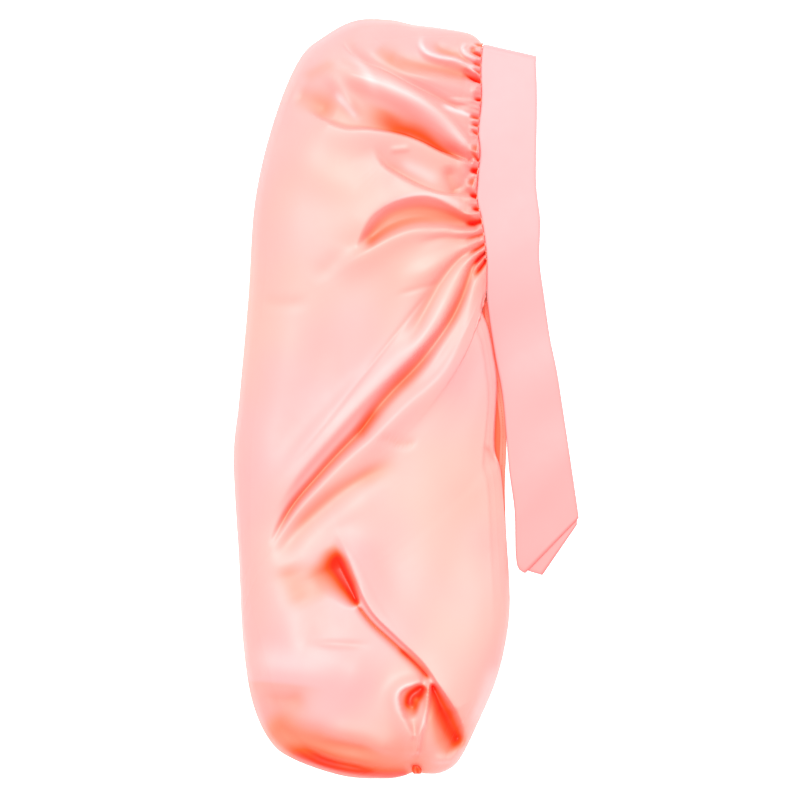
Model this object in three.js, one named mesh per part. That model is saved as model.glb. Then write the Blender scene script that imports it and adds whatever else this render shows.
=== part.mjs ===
// A long satin braid bonnet, laid flat on its side: a deep soft bag for braids, gathered into a wide band
// that is folded over at the top of the head and runs down into two tie ends, one lying on the other.
// Millimetres, +Z up. The bag rests on the plane z = 0 with its crown towards +Y, its closed tail towards -Y
// and the band along its +X side. "Upper" is the layer that faces up, "lower" the one that lies on the
// surface.
import * as THREE from "three";

// Driving dimensions of the bag.
const CLOTH = 1.8; // wall of the bag
const CLEARANCE = 0.5; // between the bag and its band
const SEAM_GAP = 0.15; // each layer ends this far from the line where the two are sewn together
const SEAM_TOP = 15.7; // top of the upper layer where the band holds it
const HEM_TOP = 13; // top of the upper layer at the middle of the open nape
const EDGE = 12; // height at which the two layers meet along the bag's outline
const EDGE_RISE = 60; // distance from the top of the band over which they reach it
const UNDER_ROUND = 15; // width of the curl from the outline down to the surface
const FOLDS_START = 14; // the folds come up over this distance from the outline
const PLEAT_LIFT = 2.4; // of the lower layer between its pressed gathers
const PLEAT_PITCH = 14;
const PLEAT_REACH = 22;
const RIM_REACH = 3; // the folds come up over this distance from the mouth
const SEAM_FREE = 30; // distance over which the cloth springs up from the gathered seam
const NAPE_FREE = 50; // and from the open nape
const LEAST_HOLLOW = 7; // the layers keep this far apart inside
const LEAST_FOLD = 4.5; // half-width of the sharpest fold
const PLUG_RIBS = 5; // ribs at the drawn tail where the cloth is packed solid
const PLUG_GAP = 0.08; // share of a rib's distance between the hollow bag and that plug
const TIP_DROP = 0.5; // of the plug's tip beyond the bag's outline

// Driving dimensions of the hems turned inside along the open nape.
const HEM_COLUMNS = 3;
const HEM_THICKNESS = 1;
const HEM_GAP = 0.8;
const HEM_FROM = 1.1; // places on the front edge, as in STATIONS
const HEM_TO = 1.9;

// Driving dimensions of the band and its two tie ends.
const BAND = 2.6; // folded double
const BAND_EDGE = 0.7; // rounding of the long edges
const TURN = 7.5; // radius of the fold over the top of the head
const TURN_HEADING = [0.2, 1];
const TIE_LEVEL = 1.5 * BAND + CLEARANCE; // middle of the upper tie where it lies on the lower one
const BAND_FALL = 2; // the free edge lies this much lower than the seam
const SETTLE_START = 10; // above the end of the seam
const SETTLE_LENGTH = 120;
const RIPPLE = { height: 2.2, from: 300, pitch: 110, rise: 60, to: 530, fade: 90 };
const BAND_STEPS = 36;
const FOLD_STEPS = 8;

// The little pleated tuft where the tail is drawn together.
const TUFT = {
  pleats: 7, x: 9, y: -377.4, z: 12.5, radius: 3.6, depth: 0.9, length: 5, flare: 1.35, swell: 2.2,
};

// Plan curves, [x, y].
const SEAM = [
  [77, 355], [75, 330], [75.5, 298], [72.5, 266], [74, 245], [71, 202], [75.5, 180], [79, 157], [81, 136],
];
const UPPER_HEM = [
  [81, 136], [80.5, 107], [75.6, 90], [82, 71], [87, 46], [91, 14], [88.5, -48], [95, -75], [101, -147],
];
const LOWER_HEM = [
  [81, 136], [81.5, 100], [85, 62], [91.5, 20], [96, -17], [97.5, -50], [98.5, -94], [101, -147],
];
const FRONT_OUTLINE = [
  [101, -147], [104, -202], [100, -242], [90, -282], [73, -322], [54, -360], [38, -373], [22, -375.5],
  [9, -373],
];
const BACK_OUTLINE = [
  [76.5, 355], [64, 365], [34, 370], [8, 373], [-16, 378], [-50, 377.5], [-81, 362], [-107, 338], [-132, 278],
  [-151, 198], [-158, 98], [-167, -2], [-172.5, -62], [-167, -162], [-163, -242], [-154, -302], [-136, -342],
  [-111, -361], [-63, -377], [-23, -380], [-4, -378], [9, -373],
];
const TIE_LEFT = [
  [81, 136], [81.5, 98], [89, 46], [97.4, -1], [103.5, -71], [109, -113], [111, -165], [119.5, -175.7],
];
const BAND_RIGHT = [
  [129.5, 340], [131, 298], [130, 218], [134, 178], [133.5, 138], [139, 98], [145, 58], [153, 18], [165, -62],
  [171, -102], [173.5, -120],
];
const LOWER_TIE_TIP = { left: [[112, -164], [137, -178]], right: [172, -127] };

// Ribs cross the bag from its front edge to its back outline, and follow its main folds. `front` counts 0 to
// 1 down the seam, 1 to 2 down the nape hem and 2 to 3 down the front outline; `back` is the distance round
// the back outline; `bends` bows the rib towards the crown at a third and at two thirds of its length; `ribs`
// is how many lie between this row and the next.
const STATIONS = [
  { at: "top of the band", front: 0.034, back: 0, bends: [0, 0], ribs: 4 },
  { at: "top curl", front: 0.14, back: 75, bends: [-3, -5], ribs: 5 },
  { at: "crown back ridge", front: 0.235, back: 130, bends: [-6, -14], ribs: 3 },
  { at: "crown crease", front: 0.3, back: 158, bends: [-8, -10], ribs: 7 },
  { at: "crown roll", front: 0.54, back: 196, bends: [13, 3], ribs: 4 },
  { at: "shoulder edge", front: 0.585, back: 268, bends: [8, 4], ribs: 4 },
  { at: "shoulder", front: 0.7, back: 345, bends: [8, 8], ribs: 5 },
  { at: "deep dent", front: 0.8, back: 425, bends: [16, 3], ribs: 3 },
  { at: "below the dent", front: 0.855, back: 475, bends: [13, 4], ribs: 3 },
  { at: "fan valley", front: 0.9, back: 530, bends: [-3, 1], ribs: 3 },
  { at: "fan ridge", front: 0.93, back: 595, bends: [-11, -1], ribs: 3 },
  { at: "sash ridge", front: 0.958, back: 695, bends: [-10, 7], ribs: 3 },
  { at: "sash valley", front: 0.98, back: 742, bends: [-12, 7], ribs: 3 },
  { at: "inner sash ridge", front: 1, back: 772, bends: [-20, 9], ribs: 4 },
  { at: "open nape", front: 1.35, back: 800, bends: [-14, 3], ribs: 4 },
  { at: "front panel", front: 1.7, back: 828, bends: [-6, 1], ribs: 4 },
  { at: "end of the nape", front: 2, back: 860, bends: [0, 0], ribs: 4 },
  { at: "tail swell", front: 2.35, back: 912, bends: [5, 4], ribs: 4 },
  { at: "tail", front: 2.6, back: 958, bends: [9, 8], ribs: 4 },
  { at: "tail end", front: 2.8, back: 998, bends: [10, 10], ribs: 5 },
  { at: "drawn end", front: 2.975, back: 1042, bends: [2, 2], ribs: 0 },
];
// Each layer of the bag is laid out in panels, and each panel starts at a rib of the table above.
const PANELS = {
  upper: [
    { name: "crown", rib: "top of the band" },
    { name: "brow", rib: "crown crease" },
    { name: "shoulder", rib: "shoulder edge" },
    { name: "waist", rib: "below the dent" },
    { name: "body", rib: "sash valley" },
    { name: "tail", rib: "front panel" },
    { name: "tail_end", rib: "tail swell" },
  ],
  lower: [
    { name: "crown", rib: "top of the band" },
    { name: "brow", rib: "crown crease" },
    { name: "shoulder", rib: "shoulder edge" },
    { name: "waist", rib: "below the dent" },
    { name: "body", rib: "sash valley" },
    { name: "tail", rib: "front panel" },
  ],
};
const MOST_PANEL_SHARE = 0.2; // of the distance between two ribs, for the gap between panels
// Columns of the upper layer, in from the front edge, round the guide line and in from the back outline.
const GUIDE = [
  [70, 349], [40, 340], [0, 300], [-30, 240], [-50, 170], [-66, 90], [-80, 0], [-88, -80], [-74, -134],
  [-54, -166], [-36, -202], [-10, -238], [18, -264], [40, -292], [52, -326], [38, -356], [6, -378],
];
const FRONT_STEPS = [0, 1.5, 5, 11, 20];
const GUIDE_STEPS = [-10, -4.5, 0, 5, 12];
const BACK_STEPS = [0, 1.2, 4.5, 10, 18, 30];
const BETWEEN = 3; // more columns on each side of the guide line
const GUIDE_ROOM = 22; // the guide line's columns keep this far from those of the edges
const MOST_FRONT_SHARE = 0.6; // of a short rib, for the closely spaced columns
const MOST_UNDER_SHARE = 0.3;
const LOWER_STEPS = [0, 4, 11, 24];
const SOFTENING = 3; // rounds of averaging that take the hips out of the rounding

// How full the bag is along its length: height of the upper layer and width of its rounding on each side.
const FULLNESS = [
  { y: 380, height: 46, roundBack: 60, roundFront: 30 },
  { y: 290, height: 58, roundBack: 72, roundFront: 30 },
  { y: 180, height: 58, roundBack: 62, roundFront: 34 },
  { y: 20, height: 47, roundBack: 48, roundFront: 36 },
  { y: -120, height: 47, roundBack: 46, roundFront: 38 },
  { y: -240, height: 58, roundBack: 60, roundFront: 50 },
  { y: -390, height: 60, roundBack: 86, roundFront: 70 },
];

// Main folds of the upper layer: a ridge, or a valley where `height` is negative, along a path. `left` and
// `right` are its half-widths on either hand of someone walking the path, from its start to its end, `ends`
// the shares of the path over which it rises and fades, and `form` how round its crest is: 2 round, 1
// creased.
const FOLDS = [
  {
    name: "crown back ridge", path: [[74, 303], [34, 317], [-21, 330], [-51, 368]],
    height: 6, left: [9, 12], right: [10, 16], ends: [0.05, 0.2], form: 2,
  },
  {
    name: "top curl", path: [[72, 320], [62, 331], [48, 337], [32, 340], [20, 345], [14, 354], [17, 366]],
    height: 4, left: [5, 4], right: [4, 3], ends: [0.08, 0.3], form: 1.9,
  },
  {
    name: "top curl dent", path: [[58, 344], [42, 347], [28, 353], [24, 362]],
    height: -3.5, left: [5, 5], right: [6, 6], ends: [0.4, 0.4], form: 2,
  },
  {
    name: "under the curl", path: [[72, 314], [58, 321], [34, 329], [0, 336], [-21, 353]],
    height: -4, left: [7, 8], right: [4, 10], ends: [0.05, 0.3], form: 2,
  },
  {
    name: "crown crease",
    path: [[64, 284], [40, 297], [14, 310], [-6, 320], [-26, 330], [-42, 337], [-58, 349], [-66, 364]],
    height: -6, left: [2.5, 5], right: [4, 10], ends: [0.15, 0.15], form: 1.4,
  },
  {
    name: "crown roll",
    path: [[70, 233], [61, 250], [43, 273], [18, 293], [-8, 306], [-36, 317], [-66, 328], [-80, 346]],
    height: 13, left: [11, 18], right: [9, 12], ends: [0.05, 0.2], form: 2,
  },
  {
    name: "under the roll",
    path: [[68, 235], [53, 243], [34, 250], [14, 260], [-6, 267], [-36, 271.5], [-66, 274]],
    height: -14, left: [2.2, 3], right: [6, 24, 26], ends: [0.04, 0.5], form: 2,
  },
  {
    name: "shoulder edge",
    path: [
      [68, 229], [51, 236], [33, 244], [14, 254], [-6, 261], [-36, 266], [-61, 267], [-86, 277],
      [-108, 290],
    ],
    height: 9, left: [12, 28], right: [2.4, 4], ends: [0.05, 0.2], form: 1.8,
  },
  {
    name: "crown back slope", path: [[-84, 332], [-63, 304], [-46, 280]],
    height: 4, left: [7, 6], right: [8, 6], ends: [0.3, 0.3], form: 2,
  },
  {
    name: "crown back hollow", path: [[-114, 308], [-93, 296], [-70, 284]],
    height: -6, left: [13, 12], right: [13, 14], ends: [0.25, 0.3], form: 2,
  },
  {
    name: "under the shoulder line",
    path: [[70, 204], [54, 205], [34, 207], [14, 214], [-6, 225], [-21, 235], [-34, 252]],
    height: -5, left: [1.8, 2], right: [7, 9], ends: [0.04, 0.3], form: 1.5,
  },
  {
    name: "shoulder crease",
    path: [[70, 199], [54, 200], [33, 202], [13, 209], [-8, 220], [-24, 231], [-38, 250]],
    height: 5, left: [11, 22], right: [2, 3], ends: [0.05, 0.3], form: 1.8,
  },
  {
    name: "shoulder pit", path: [[37, 238], [36, 222], [45, 206]],
    height: -9, left: [6, 9], right: [4, 5], ends: [0.3, 0.15], form: 1.8,
  },
  {
    name: "shoulder", path: [[-140, 262], [-76, 225], [-10, 192]],
    height: 5, left: [30, 24], right: [28, 22], ends: [0.3, 0.3], form: 2,
  },
  {
    name: "dent edge",
    path: [
      [76, 178], [64, 182], [49, 190], [34, 198], [19, 202], [-1, 200], [-18, 194], [-34, 183],
      [-44, 168], [-52, 148],
    ],
    height: 5, left: [2.4, 4], right: [9, 22], ends: [0.05, 0.2], form: 1.8,
  },
  {
    name: "deep dent",
    path: [[74, 171], [60, 174], [40, 182], [16, 187], [-4, 184], [-20, 176], [-34, 163], [-48, 147]],
    height: -10, left: [4, 15, 13, 4], right: [4, 9, 10, 4], ends: [0.04, 0.15], form: 3,
  },
  {
    name: "below the dent",
    path: [[76, 166], [59, 166], [36, 169], [6, 167], [-19, 157], [-46, 141], [-76, 120]],
    height: 7, left: [7, 18], right: [4, 9], ends: [0.05, 0.3], form: 1.8,
  },
  {
    name: "fan valley 1", path: [[76, 161], [60, 159], [36, 160], [8, 154]],
    height: -3.5, left: [3, 6], right: [3, 5], ends: [0.05, 0.4], form: 2,
  },
  {
    name: "fan valley 2", path: [[79, 156], [69, 152], [51, 137], [35, 117], [20, 90], [6, 62], [-10, 40]],
    height: -6.5, left: [4, 8], right: [4, 10], ends: [0.05, 0.35], form: 1.8,
  },
  {
    name: "sash ridge",
    path: [
      [81, 147], [64, 129], [52, 105], [36, 78], [9, 50], [-36, 7], [-66, -25], [-113, -80],
      [-146, -134],
    ],
    height: 9, left: [6, 7], right: [9, 16], ends: [0.05, 0.2], form: 1.8,
  },
  {
    name: "sash valley",
    path: [
      [80, 147], [66, 128], [57, 108], [49, 86], [36, 64], [14, 38], [-11, 8], [-34, -17], [-46, -35],
      [-74, -62], [-99, -91], [-121, -121], [-137, -150],
    ],
    height: -12, left: [4, 6], right: [5, 6.5], ends: [0.04, 0.15], form: 1.7,
  },
  {
    name: "sash pocket", path: [[-24, -8], [-40, -28], [-50, -42]],
    height: -6, left: [5, 7], right: [6, 6], ends: [0.35, 0.2], form: 1.6,
  },
  {
    name: "inner sash ridge",
    path: [
      [82, 134], [70, 108], [62, 72], [40, 26], [2, -8], [-33, -42], [-69, -70], [-105, -106],
      [-134, -146],
    ],
    height: 8, left: [10, 9], right: [5, 6], ends: [0.05, 0.2], form: 1.9,
  },
  {
    name: "second sash valley", path: [[-2, -60], [-41, -78], [-81, -107], [-111, -135], [-132, -168]],
    height: -7, left: [8, 8], right: [6, 6], ends: [0.25, 0.2], form: 2,
  },
  {
    name: "second sash ridge", path: [[-20, -80], [-66, -113], [-96, -138], [-126, -174]],
    height: 4, left: [20, 14], right: [8, 8], ends: [0.3, 0.3], form: 2,
  },
  {
    name: "front panel", path: [[82, 113], [84, 48], [78, -32], [62, -102]],
    height: 4, left: [14, 26], right: [14, 28], ends: [0.15, 0.35], form: 2,
  },
  {
    name: "tail dent", path: [[-75, -150], [-67, -170], [-57, -190], [-48, -208]],
    height: -14, left: [4, 7, 6, 2], right: [9, 13, 10, 3], ends: [0.4, 0.15], form: 2,
  },
  {
    name: "tail ridge",
    path: [
      [-70, -128], [-58, -156], [-46, -188], [-32, -214], [-8, -238], [17, -262], [34, -286],
      [52, -314], [64, -342],
    ],
    height: 9, left: [22, 34], right: [8, 3, 3, 3.5], ends: [0.14, 0.15], form: 1.8,
  },
  {
    name: "tail crease", path: [[-48, -208], [-34, -226], [-11, -247], [11, -268], [24, -282]],
    height: -7, left: [1.5, 1.6], right: [2.6, 4], ends: [0.06, 0.06], form: 1.5,
  },
  {
    name: "back hollow", path: [[-122, -176], [-108, -200], [-84, -216]],
    height: -7, left: [15, 15], right: [16, 16], ends: [0.35, 0.35], form: 2,
  },
  {
    name: "tail swell", path: [[-138, -242], [-76, -266], [-21, -290]],
    height: 7, left: [28, 22], right: [30, 30], ends: [0.3, 0.3], form: 2,
  },
  {
    name: "tail valley", path: [[25, -284], [33, -300], [42, -318], [51, -338], [57, -349]],
    height: -15, left: [3, 8, 9, 6], right: [3, 7, 9, 9], ends: [0.2, 0.2], form: 2,
  },
  {
    name: "draw cleft", path: [[26, -287], [24, -304], [20, -328]],
    height: -6, left: [2.4, 2.4], right: [2, 2], ends: [0.1, 0.3], form: 1.8,
  },
  {
    name: "draw ridge", path: [[23, -281], [21, -312], [13, -338], [11, -362]],
    height: 8, left: [2.4, 4], right: [3, 3.5], ends: [0.1, 0.15], form: 1.9,
  },
  {
    name: "tail curl", path: [[60, -350], [46, -361], [22, -361]],
    height: 4, left: [4, 4], right: [5, 5], ends: [0.2, 0.3], form: 2,
  },
  {
    name: "heart dent", path: [[19, -290], [6, -296], [-1, -304], [4, -320]],
    height: -10, left: [5, 5], right: [5, 5], ends: [0.2, 0.3], form: 2,
  },
  {
    name: "heart edge",
    path: [[20, -281], [8, -285], [-4, -290], [-8.5, -299], [-5, -314], [2, -328], [8, -342], [11, -362]],
    height: 7, left: [2.4, 3], right: [6, 10, 14], ends: [0.08, 0.12], form: 1.8,
  },
  {
    name: "lower back hollow", path: [[-148, -288], [-121, -294], [-94, -290]],
    height: -5, left: [11, 11], right: [11, 11], ends: [0.35, 0.35], form: 2,
  },
  {
    name: "end crease", path: [[-112, -346], [-84, -361], [-56, -368], [-24, -373]],
    height: -5, left: [5, 5], right: [4, 4], ends: [0.3, 0.3], form: 1.9,
  },
  {
    name: "low hollow", path: [[-144, -306], [-118, -334], [-76, -346], [-20, -354]],
    height: -7, left: [13, 12], right: [12, 12], ends: [0.2, 0.2], form: 2,
  },
  {
    name: "end ridge", path: [[-91, -332], [-41, -344], [-1, -354]],
    height: 4, left: [12, 12], right: [6, 6], ends: [0.3, 0.25], form: 2,
  },
];

// Gathers along the seam: distance down the seam, height and reach over the bag, and the direction that each
// runs in, in degrees anticlockwise from +X.
const GATHERS = [
  { at: 10, height: 5, reach: 22, heading: 158 },
  { at: 19, height: 5, reach: 24, heading: 156 },
  { at: 30, height: 5, reach: 40, heading: 158 },
  { at: 46, height: 6, reach: 44, heading: 164 },
  { at: 64, height: 4, reach: 30, heading: 168 },
  { at: 80, height: 4, reach: 16, heading: 165 },
  { at: 104, height: 7, reach: 34, heading: 130 },
  { at: 122, height: 3, reach: 12, heading: 160 },
  { at: 142, height: 7, reach: 34, heading: 140 },
  { at: 163, height: 6, reach: 30, heading: 160 },
  { at: 186, height: 6, reach: 34, heading: 190 },
  { at: 198, height: 5, reach: 34, heading: 208 },
  { at: 210, height: 5, reach: 36, heading: 222 },
];
const GATHER_WIDTH = 4.2;
const GATHER_SPREAD = 1.6; // how much wider a gather is at its far end
const PUCKER_DEPTH = 6; // of the small valley between one gather and the next
const PUCKER_WIDTH = 2.6;
const PUCKER_REACH = 0.6; // of the gather's beside it
const GATHER_ENDS = [0.02, 0.8];

const mix = (a, b, t) => a + (b - a) * t;
const smooth = (t) => THREE.MathUtils.smoothstep(t, 0, 1);
const dome = (t) => Math.sqrt(1 - (1 - Math.min(Math.max(t, 0), 1)) ** 2);

// A smooth plan curve as a fine chain of points, with the distance along it.
class Path {
  constructor(points, stepsPerPoint = 8) {
    const curve = new THREE.SplineCurve(points.map(([x, y]) => new THREE.Vector2(x, y)));
    this.points = curve.getPoints(stepsPerPoint * (points.length - 1));
    this.along = [0];
    for (let i = 1; i < this.points.length; i++)
      this.along.push(this.along[i - 1] + this.points[i].distanceTo(this.points[i - 1]));
    this.length = this.along.at(-1);
  }

  at(distance) {
    const last = this.points.length - 1;
    let i = 1;
    while (i < last && this.along[i] < distance) i++;
    const share = (distance - this.along[i - 1]) / (this.along[i] - this.along[i - 1]);
    return this.points[i - 1].clone().lerp(this.points[i], THREE.MathUtils.clamp(share, 0, 1));
  }

  // How far (x, y) is from the path, the path's share at the nearest place, and whether it is on the left.
  nearest(x, y) {
    let best = Infinity;
    let share = 0;
    let onLeft = true;
    for (let i = 1; i < this.points.length; i++) {
      const a = this.points[i - 1];
      const b = this.points[i];
      const dx = b.x - a.x;
      const dy = b.y - a.y;
      const t = THREE.MathUtils.clamp(((x - a.x) * dx + (y - a.y) * dy) / (dx * dx + dy * dy), 0, 1);
      const gap = (x - a.x - t * dx) ** 2 + (y - a.y - t * dy) ** 2;
      if (gap >= best) continue;
      best = gap;
      share = mix(this.along[i - 1], this.along[i], t) / this.length;
      onLeft = dx * (y - a.y) - dy * (x - a.x) >= 0;
    }
    return { away: Math.sqrt(best), share, onLeft };
  }
}

const seam = new Path(SEAM);
const upperHem = new Path(UPPER_HEM);
const lowerHem = new Path(LOWER_HEM);
const frontOutline = new Path(FRONT_OUTLINE);
const backOutline = new Path(BACK_OUTLINE);

function gatherFolds() {
  const rows = [];
  const along = (distance, heading, reach) => {
    const start = seam.at(distance);
    const angle = THREE.MathUtils.degToRad(heading);
    const end = [start.x + reach * Math.cos(angle), start.y + reach * Math.sin(angle)];
    return [[start.x, start.y], [(start.x + end[0]) / 2, (start.y + end[1]) / 2], end];
  };
  const wide = [GATHER_WIDTH, GATHER_SPREAD * GATHER_WIDTH];
  const narrow = [PUCKER_WIDTH, PUCKER_WIDTH];
  const row = (path, height, width) =>
    ({ path, height, left: width, right: width, ends: GATHER_ENDS, form: 2 });
  GATHERS.forEach(({ at, heading, reach, height }, i) => {
    rows.push(row(along(at, heading, reach), height, wide));
    const next = GATHERS[i + 1];
    if (!next) return;
    const valley = along((at + next.at) / 2, (heading + next.heading) / 2, PUCKER_REACH * reach);
    rows.push(row(valley, -PUCKER_DEPTH, narrow));
  });
  return rows;
}

const folds = [...FOLDS, ...gatherFolds()].map((row) => ({ ...row, curve: new Path(row.path, 6) }));

// A list of values read at a share of its length.
function valueAt(values, share) {
  const place = share * (values.length - 1);
  const i = Math.min(Math.floor(place), values.length - 2);
  return mix(values[i], values[i + 1], place - i);
}

function foldHeight(x, y) {
  let sum = 0;
  for (const { curve, height, left, right, ends, form } of folds) {
    const { away, share, onLeft } = curve.nearest(x, y);
    const width = Math.max(LEAST_FOLD, valueAt(onLeft ? left : right, share));
    const rise = smooth(share / ends[0]) * smooth((1 - share) / ends[1]);
    sum += height * rise * Math.exp(-((away / width) ** form));
  }
  return sum;
}

// The FULLNESS table read at any y.
function fullnessAt(y) {
  const below = FULLNESS.findIndex((row) => row.y <= y);
  if (below === 0) return FULLNESS[0];
  if (below < 0) return FULLNESS.at(-1);
  const [a, b] = [FULLNESS[below - 1], FULLNESS[below]];
  const t = smooth((a.y - y) / (a.y - b.y));
  return Object.fromEntries(Object.keys(a).map((key) => [key, mix(a[key], b[key], t)]));
}

// What the shape of both layers depends on at a point of the plan.
function surroundings(x, y) {
  const toBack = backOutline.nearest(x, y).away;
  const toFront = frontOutline.nearest(x, y).away;
  const toSeam = seam.nearest(x, y).away;
  const hem = upperHem.nearest(x, y);
  const toMouth = Math.min(toSeam, hem.away);
  const nape = hem.away < toSeam ? hem.share : 0;
  const freed = 1 - Math.exp(-toMouth / mix(SEAM_FREE, NAPE_FREE, smooth(2 * nape)));
  const fromTop = Math.hypot(x - SEAM[0][0], y - SEAM[0][1]);
  const edge = mix(SEAM_TOP / 2, EDGE, smooth(fromTop / EDGE_RISE));
  return { toBack, toFront, toMouth, nape, freed, edge };
}

function upperBase(x, y) {
  const { toBack, toFront, nape, freed, edge } = surroundings(x, y);
  const { height, roundBack, roundFront } = fullnessAt(y);
  const mouth = mix(SEAM_TOP, HEM_TOP, smooth(2 * nape));
  const crown = mix(mouth, height, freed);
  const back = dome(toBack / mix(TURN, roundBack, freed));
  const front = dome(toFront / mix(TURN, roundFront, freed));
  return edge + (crown - edge) * back * front;
}

function upperFolds(x, y) {
  const { toBack, toFront, toMouth } = surroundings(x, y);
  const inland = smooth(toBack / FOLDS_START) * smooth(toFront / FOLDS_START);
  return foldHeight(x, y) * inland * smooth(toMouth / RIM_REACH);
}

// The lower layer lies flat, curls up to the outline, and is lifted a little between its pressed gathers.
function lowerHeight(x, y) {
  const { toBack, toFront, toMouth, nape, freed, edge } = surroundings(x, y);
  const round = mix(TURN, UNDER_ROUND, freed);
  const curl = edge * (1 - dome(Math.min(toBack, toFront) / round));
  const along = seam.nearest(x, y).share * seam.length;
  const pleat = 0.5 - 0.5 * Math.cos((2 * Math.PI * along) / PLEAT_PITCH);
  const reach = Math.max(0, 1 - toMouth / PLEAT_REACH) ** 2 * smooth(toMouth / RIM_REACH);
  return nape > 0 ? curl : curl + PLEAT_LIFT * pleat * reach;
}

// Every rib as {front, back, bends} from the STATIONS table.
function ribs() {
  const rows = [];
  STATIONS.forEach((station, i) => {
    const next = STATIONS[i + 1] ?? station;
    for (let k = 0; k < Math.max(1, station.ribs); k++) {
      const t = k / Math.max(1, station.ribs);
      rows.push({
        front: mix(station.front, next.front, t), back: mix(station.back, next.back, t),
        bends: station.bends.map((bend, side) => mix(bend, next.bends[side], t)),
      });
    }
  });
  return rows;
}

// The number of the rib that starts at a named station.
function ribIndex(name) {
  const found = STATIONS.findIndex((station) => station.at === name);
  return STATIONS.slice(0, found).reduce((sum, station) => sum + station.ribs, 0);
}

function frontPoint(front, hem) {
  const section = [seam, hem, frontOutline][Math.min(2, Math.floor(front))];
  const point = section.at((front - Math.min(2, Math.floor(front))) * section.length);
  if (front < 2) point.x -= CLEARANCE * (1 - smooth(front - 1));
  return point;
}

// `count` more values spread evenly between two others.
const spread = (from, to, count) =>
  Array.from({ length: count }, (_, k) => mix(from, to, (k + 1) / (count + 1)));

// Shares of a rib's length, from its front end to its back end, at which the upper layer's columns cross it.
function upperColumns(length, guide) {
  const room = FRONT_STEPS.at(-1) + BACK_STEPS.at(-1) + 2 * GUIDE_STEPS.at(-1);
  const unit = Math.min(1, (MOST_FRONT_SHARE * length) / room) / length;
  const front = FRONT_STEPS.map((d) => d * unit);
  const back = BACK_STEPS.map((d) => 1 - d * unit).reverse();
  const middle = THREE.MathUtils.clamp(guide, front.at(-1) + GUIDE_ROOM * unit, back[0] - GUIDE_ROOM * unit);
  const round = GUIDE_STEPS.map((d) => middle + d * unit);
  const nearFront = spread(front.at(-1), round[0], BETWEEN);
  return [...front, ...nearFront, ...round, ...spread(round.at(-1), back[0], BETWEEN), ...back];
}

function lowerColumns(length) {
  const unit = Math.min(1, (MOST_UNDER_SHARE * length) / LOWER_STEPS.at(-1)) / length;
  const front = LOWER_STEPS.map((d) => d * unit);
  return [...front, 0.5, ...front.map((share) => 1 - share).reverse()];
}

function soften(grid, passes) {
  for (let pass = 0; pass < passes; pass++) {
    const before = grid.map((row) => row.map((p) => p.z));
    for (let i = 1; i < grid.length - 1; i++)
      for (let j = 2; j < grid[i].length - 3; j++) {
        const beside = before[i][j - 1] + before[i][j + 1] + before[i - 1][j] + before[i + 1][j];
        grid[i][j].z = (2 * before[i][j] + beside) / 6;
      }
  }
}

// A point of a rib at a share q of its length: a cubic through its two bends, which are named at a third and
// at two thirds of it.
function ribAt(rib, hem) {
  const start = frontPoint(rib.front, hem);
  const end = backOutline.at(rib.back);
  const sideways = new THREE.Vector2(start.y - end.y, end.x - start.x).normalize();
  if (sideways.y < 0) sideways.negate();
  const early = 2 * rib.bends[0] - rib.bends[1];
  const late = 2 * rib.bends[1] - rib.bends[0];
  const bow = (q) => 4.5 * q * (1 - q) * mix(early, late, q);
  const at = (q) => start.clone().lerp(end, q).addScaledVector(sideways, bow(q));
  return { at, length: start.distanceTo(end) };
}

// The bag's outside as rows of points: each row runs from the front edge over the upper layer to the back
// outline, and on over the lower layer to the front edge again.
function bagSurface() {
  const guide = new Path(GUIDE);
  const crossing = (at) => {
    let q = 0;
    while (q < 1 && guide.nearest(at(q).x, at(q).y).onLeft) q += 0.004;
    return q;
  };
  const upper = ribs().map((rib) => {
    const { at, length } = ribAt(rib, upperHem);
    const plan = upperColumns(length, crossing(at)).map(at);
    return plan.map((p) => new THREE.Vector3(p.x, p.y, upperBase(p.x, p.y)));
  });
  soften(upper, SOFTENING);
  const least = 2 * CLOTH + LEAST_HOLLOW;
  for (const row of upper)
    for (const p of row.slice(0, -1)) p.z = Math.max(p.z + upperFolds(p.x, p.y), Math.min(p.z, least));
  const lower = ribs().map((rib) => {
    const { at, length } = ribAt(rib, lowerHem);
    return lowerColumns(length).map(at).map((p) => new THREE.Vector3(p.x, p.y, lowerHeight(p.x, p.y)));
  });
  return ribs().map((rib, i) => {
    const row = [...upper[i], ...lower[i].slice(0, -1).reverse()];
    if (rib.front >= 2) row[row.length - 1] = row[0].clone();
    return row;
  });
}

const meshOf = (triangles) => {
  const points = new Float32Array(triangles.length * 9);
  triangles.forEach((corners, i) => corners.forEach((p, k) => p.toArray(points, 9 * i + 3 * k)));
  const geometry = new THREE.BufferGeometry();
  geometry.setAttribute("position", new THREE.BufferAttribute(points, 3));
  geometry.computeVertexNormals();
  return geometry;
};

// Two triangles for the four-sided patch a, b, c, d, split along its shorter diagonal.
function patch(a, b, c, d) {
  return a.distanceToSquared(c) < b.distanceToSquared(d) ? [[a, b, c], [a, c, d]] : [[a, b, d], [b, c, d]];
}

function sheet(grid) {
  const triangles = [];
  for (let i = 0; i < grid.length - 1; i++)
    for (let j = 0; j < grid[i].length - 1; j++)
      triangles.push(...patch(grid[i][j], grid[i][j + 1], grid[i + 1][j + 1], grid[i + 1][j]));
  return triangles;
}

const flipped = (triangles) => triangles.map(([a, b, c]) => [a, c, b]);

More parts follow.
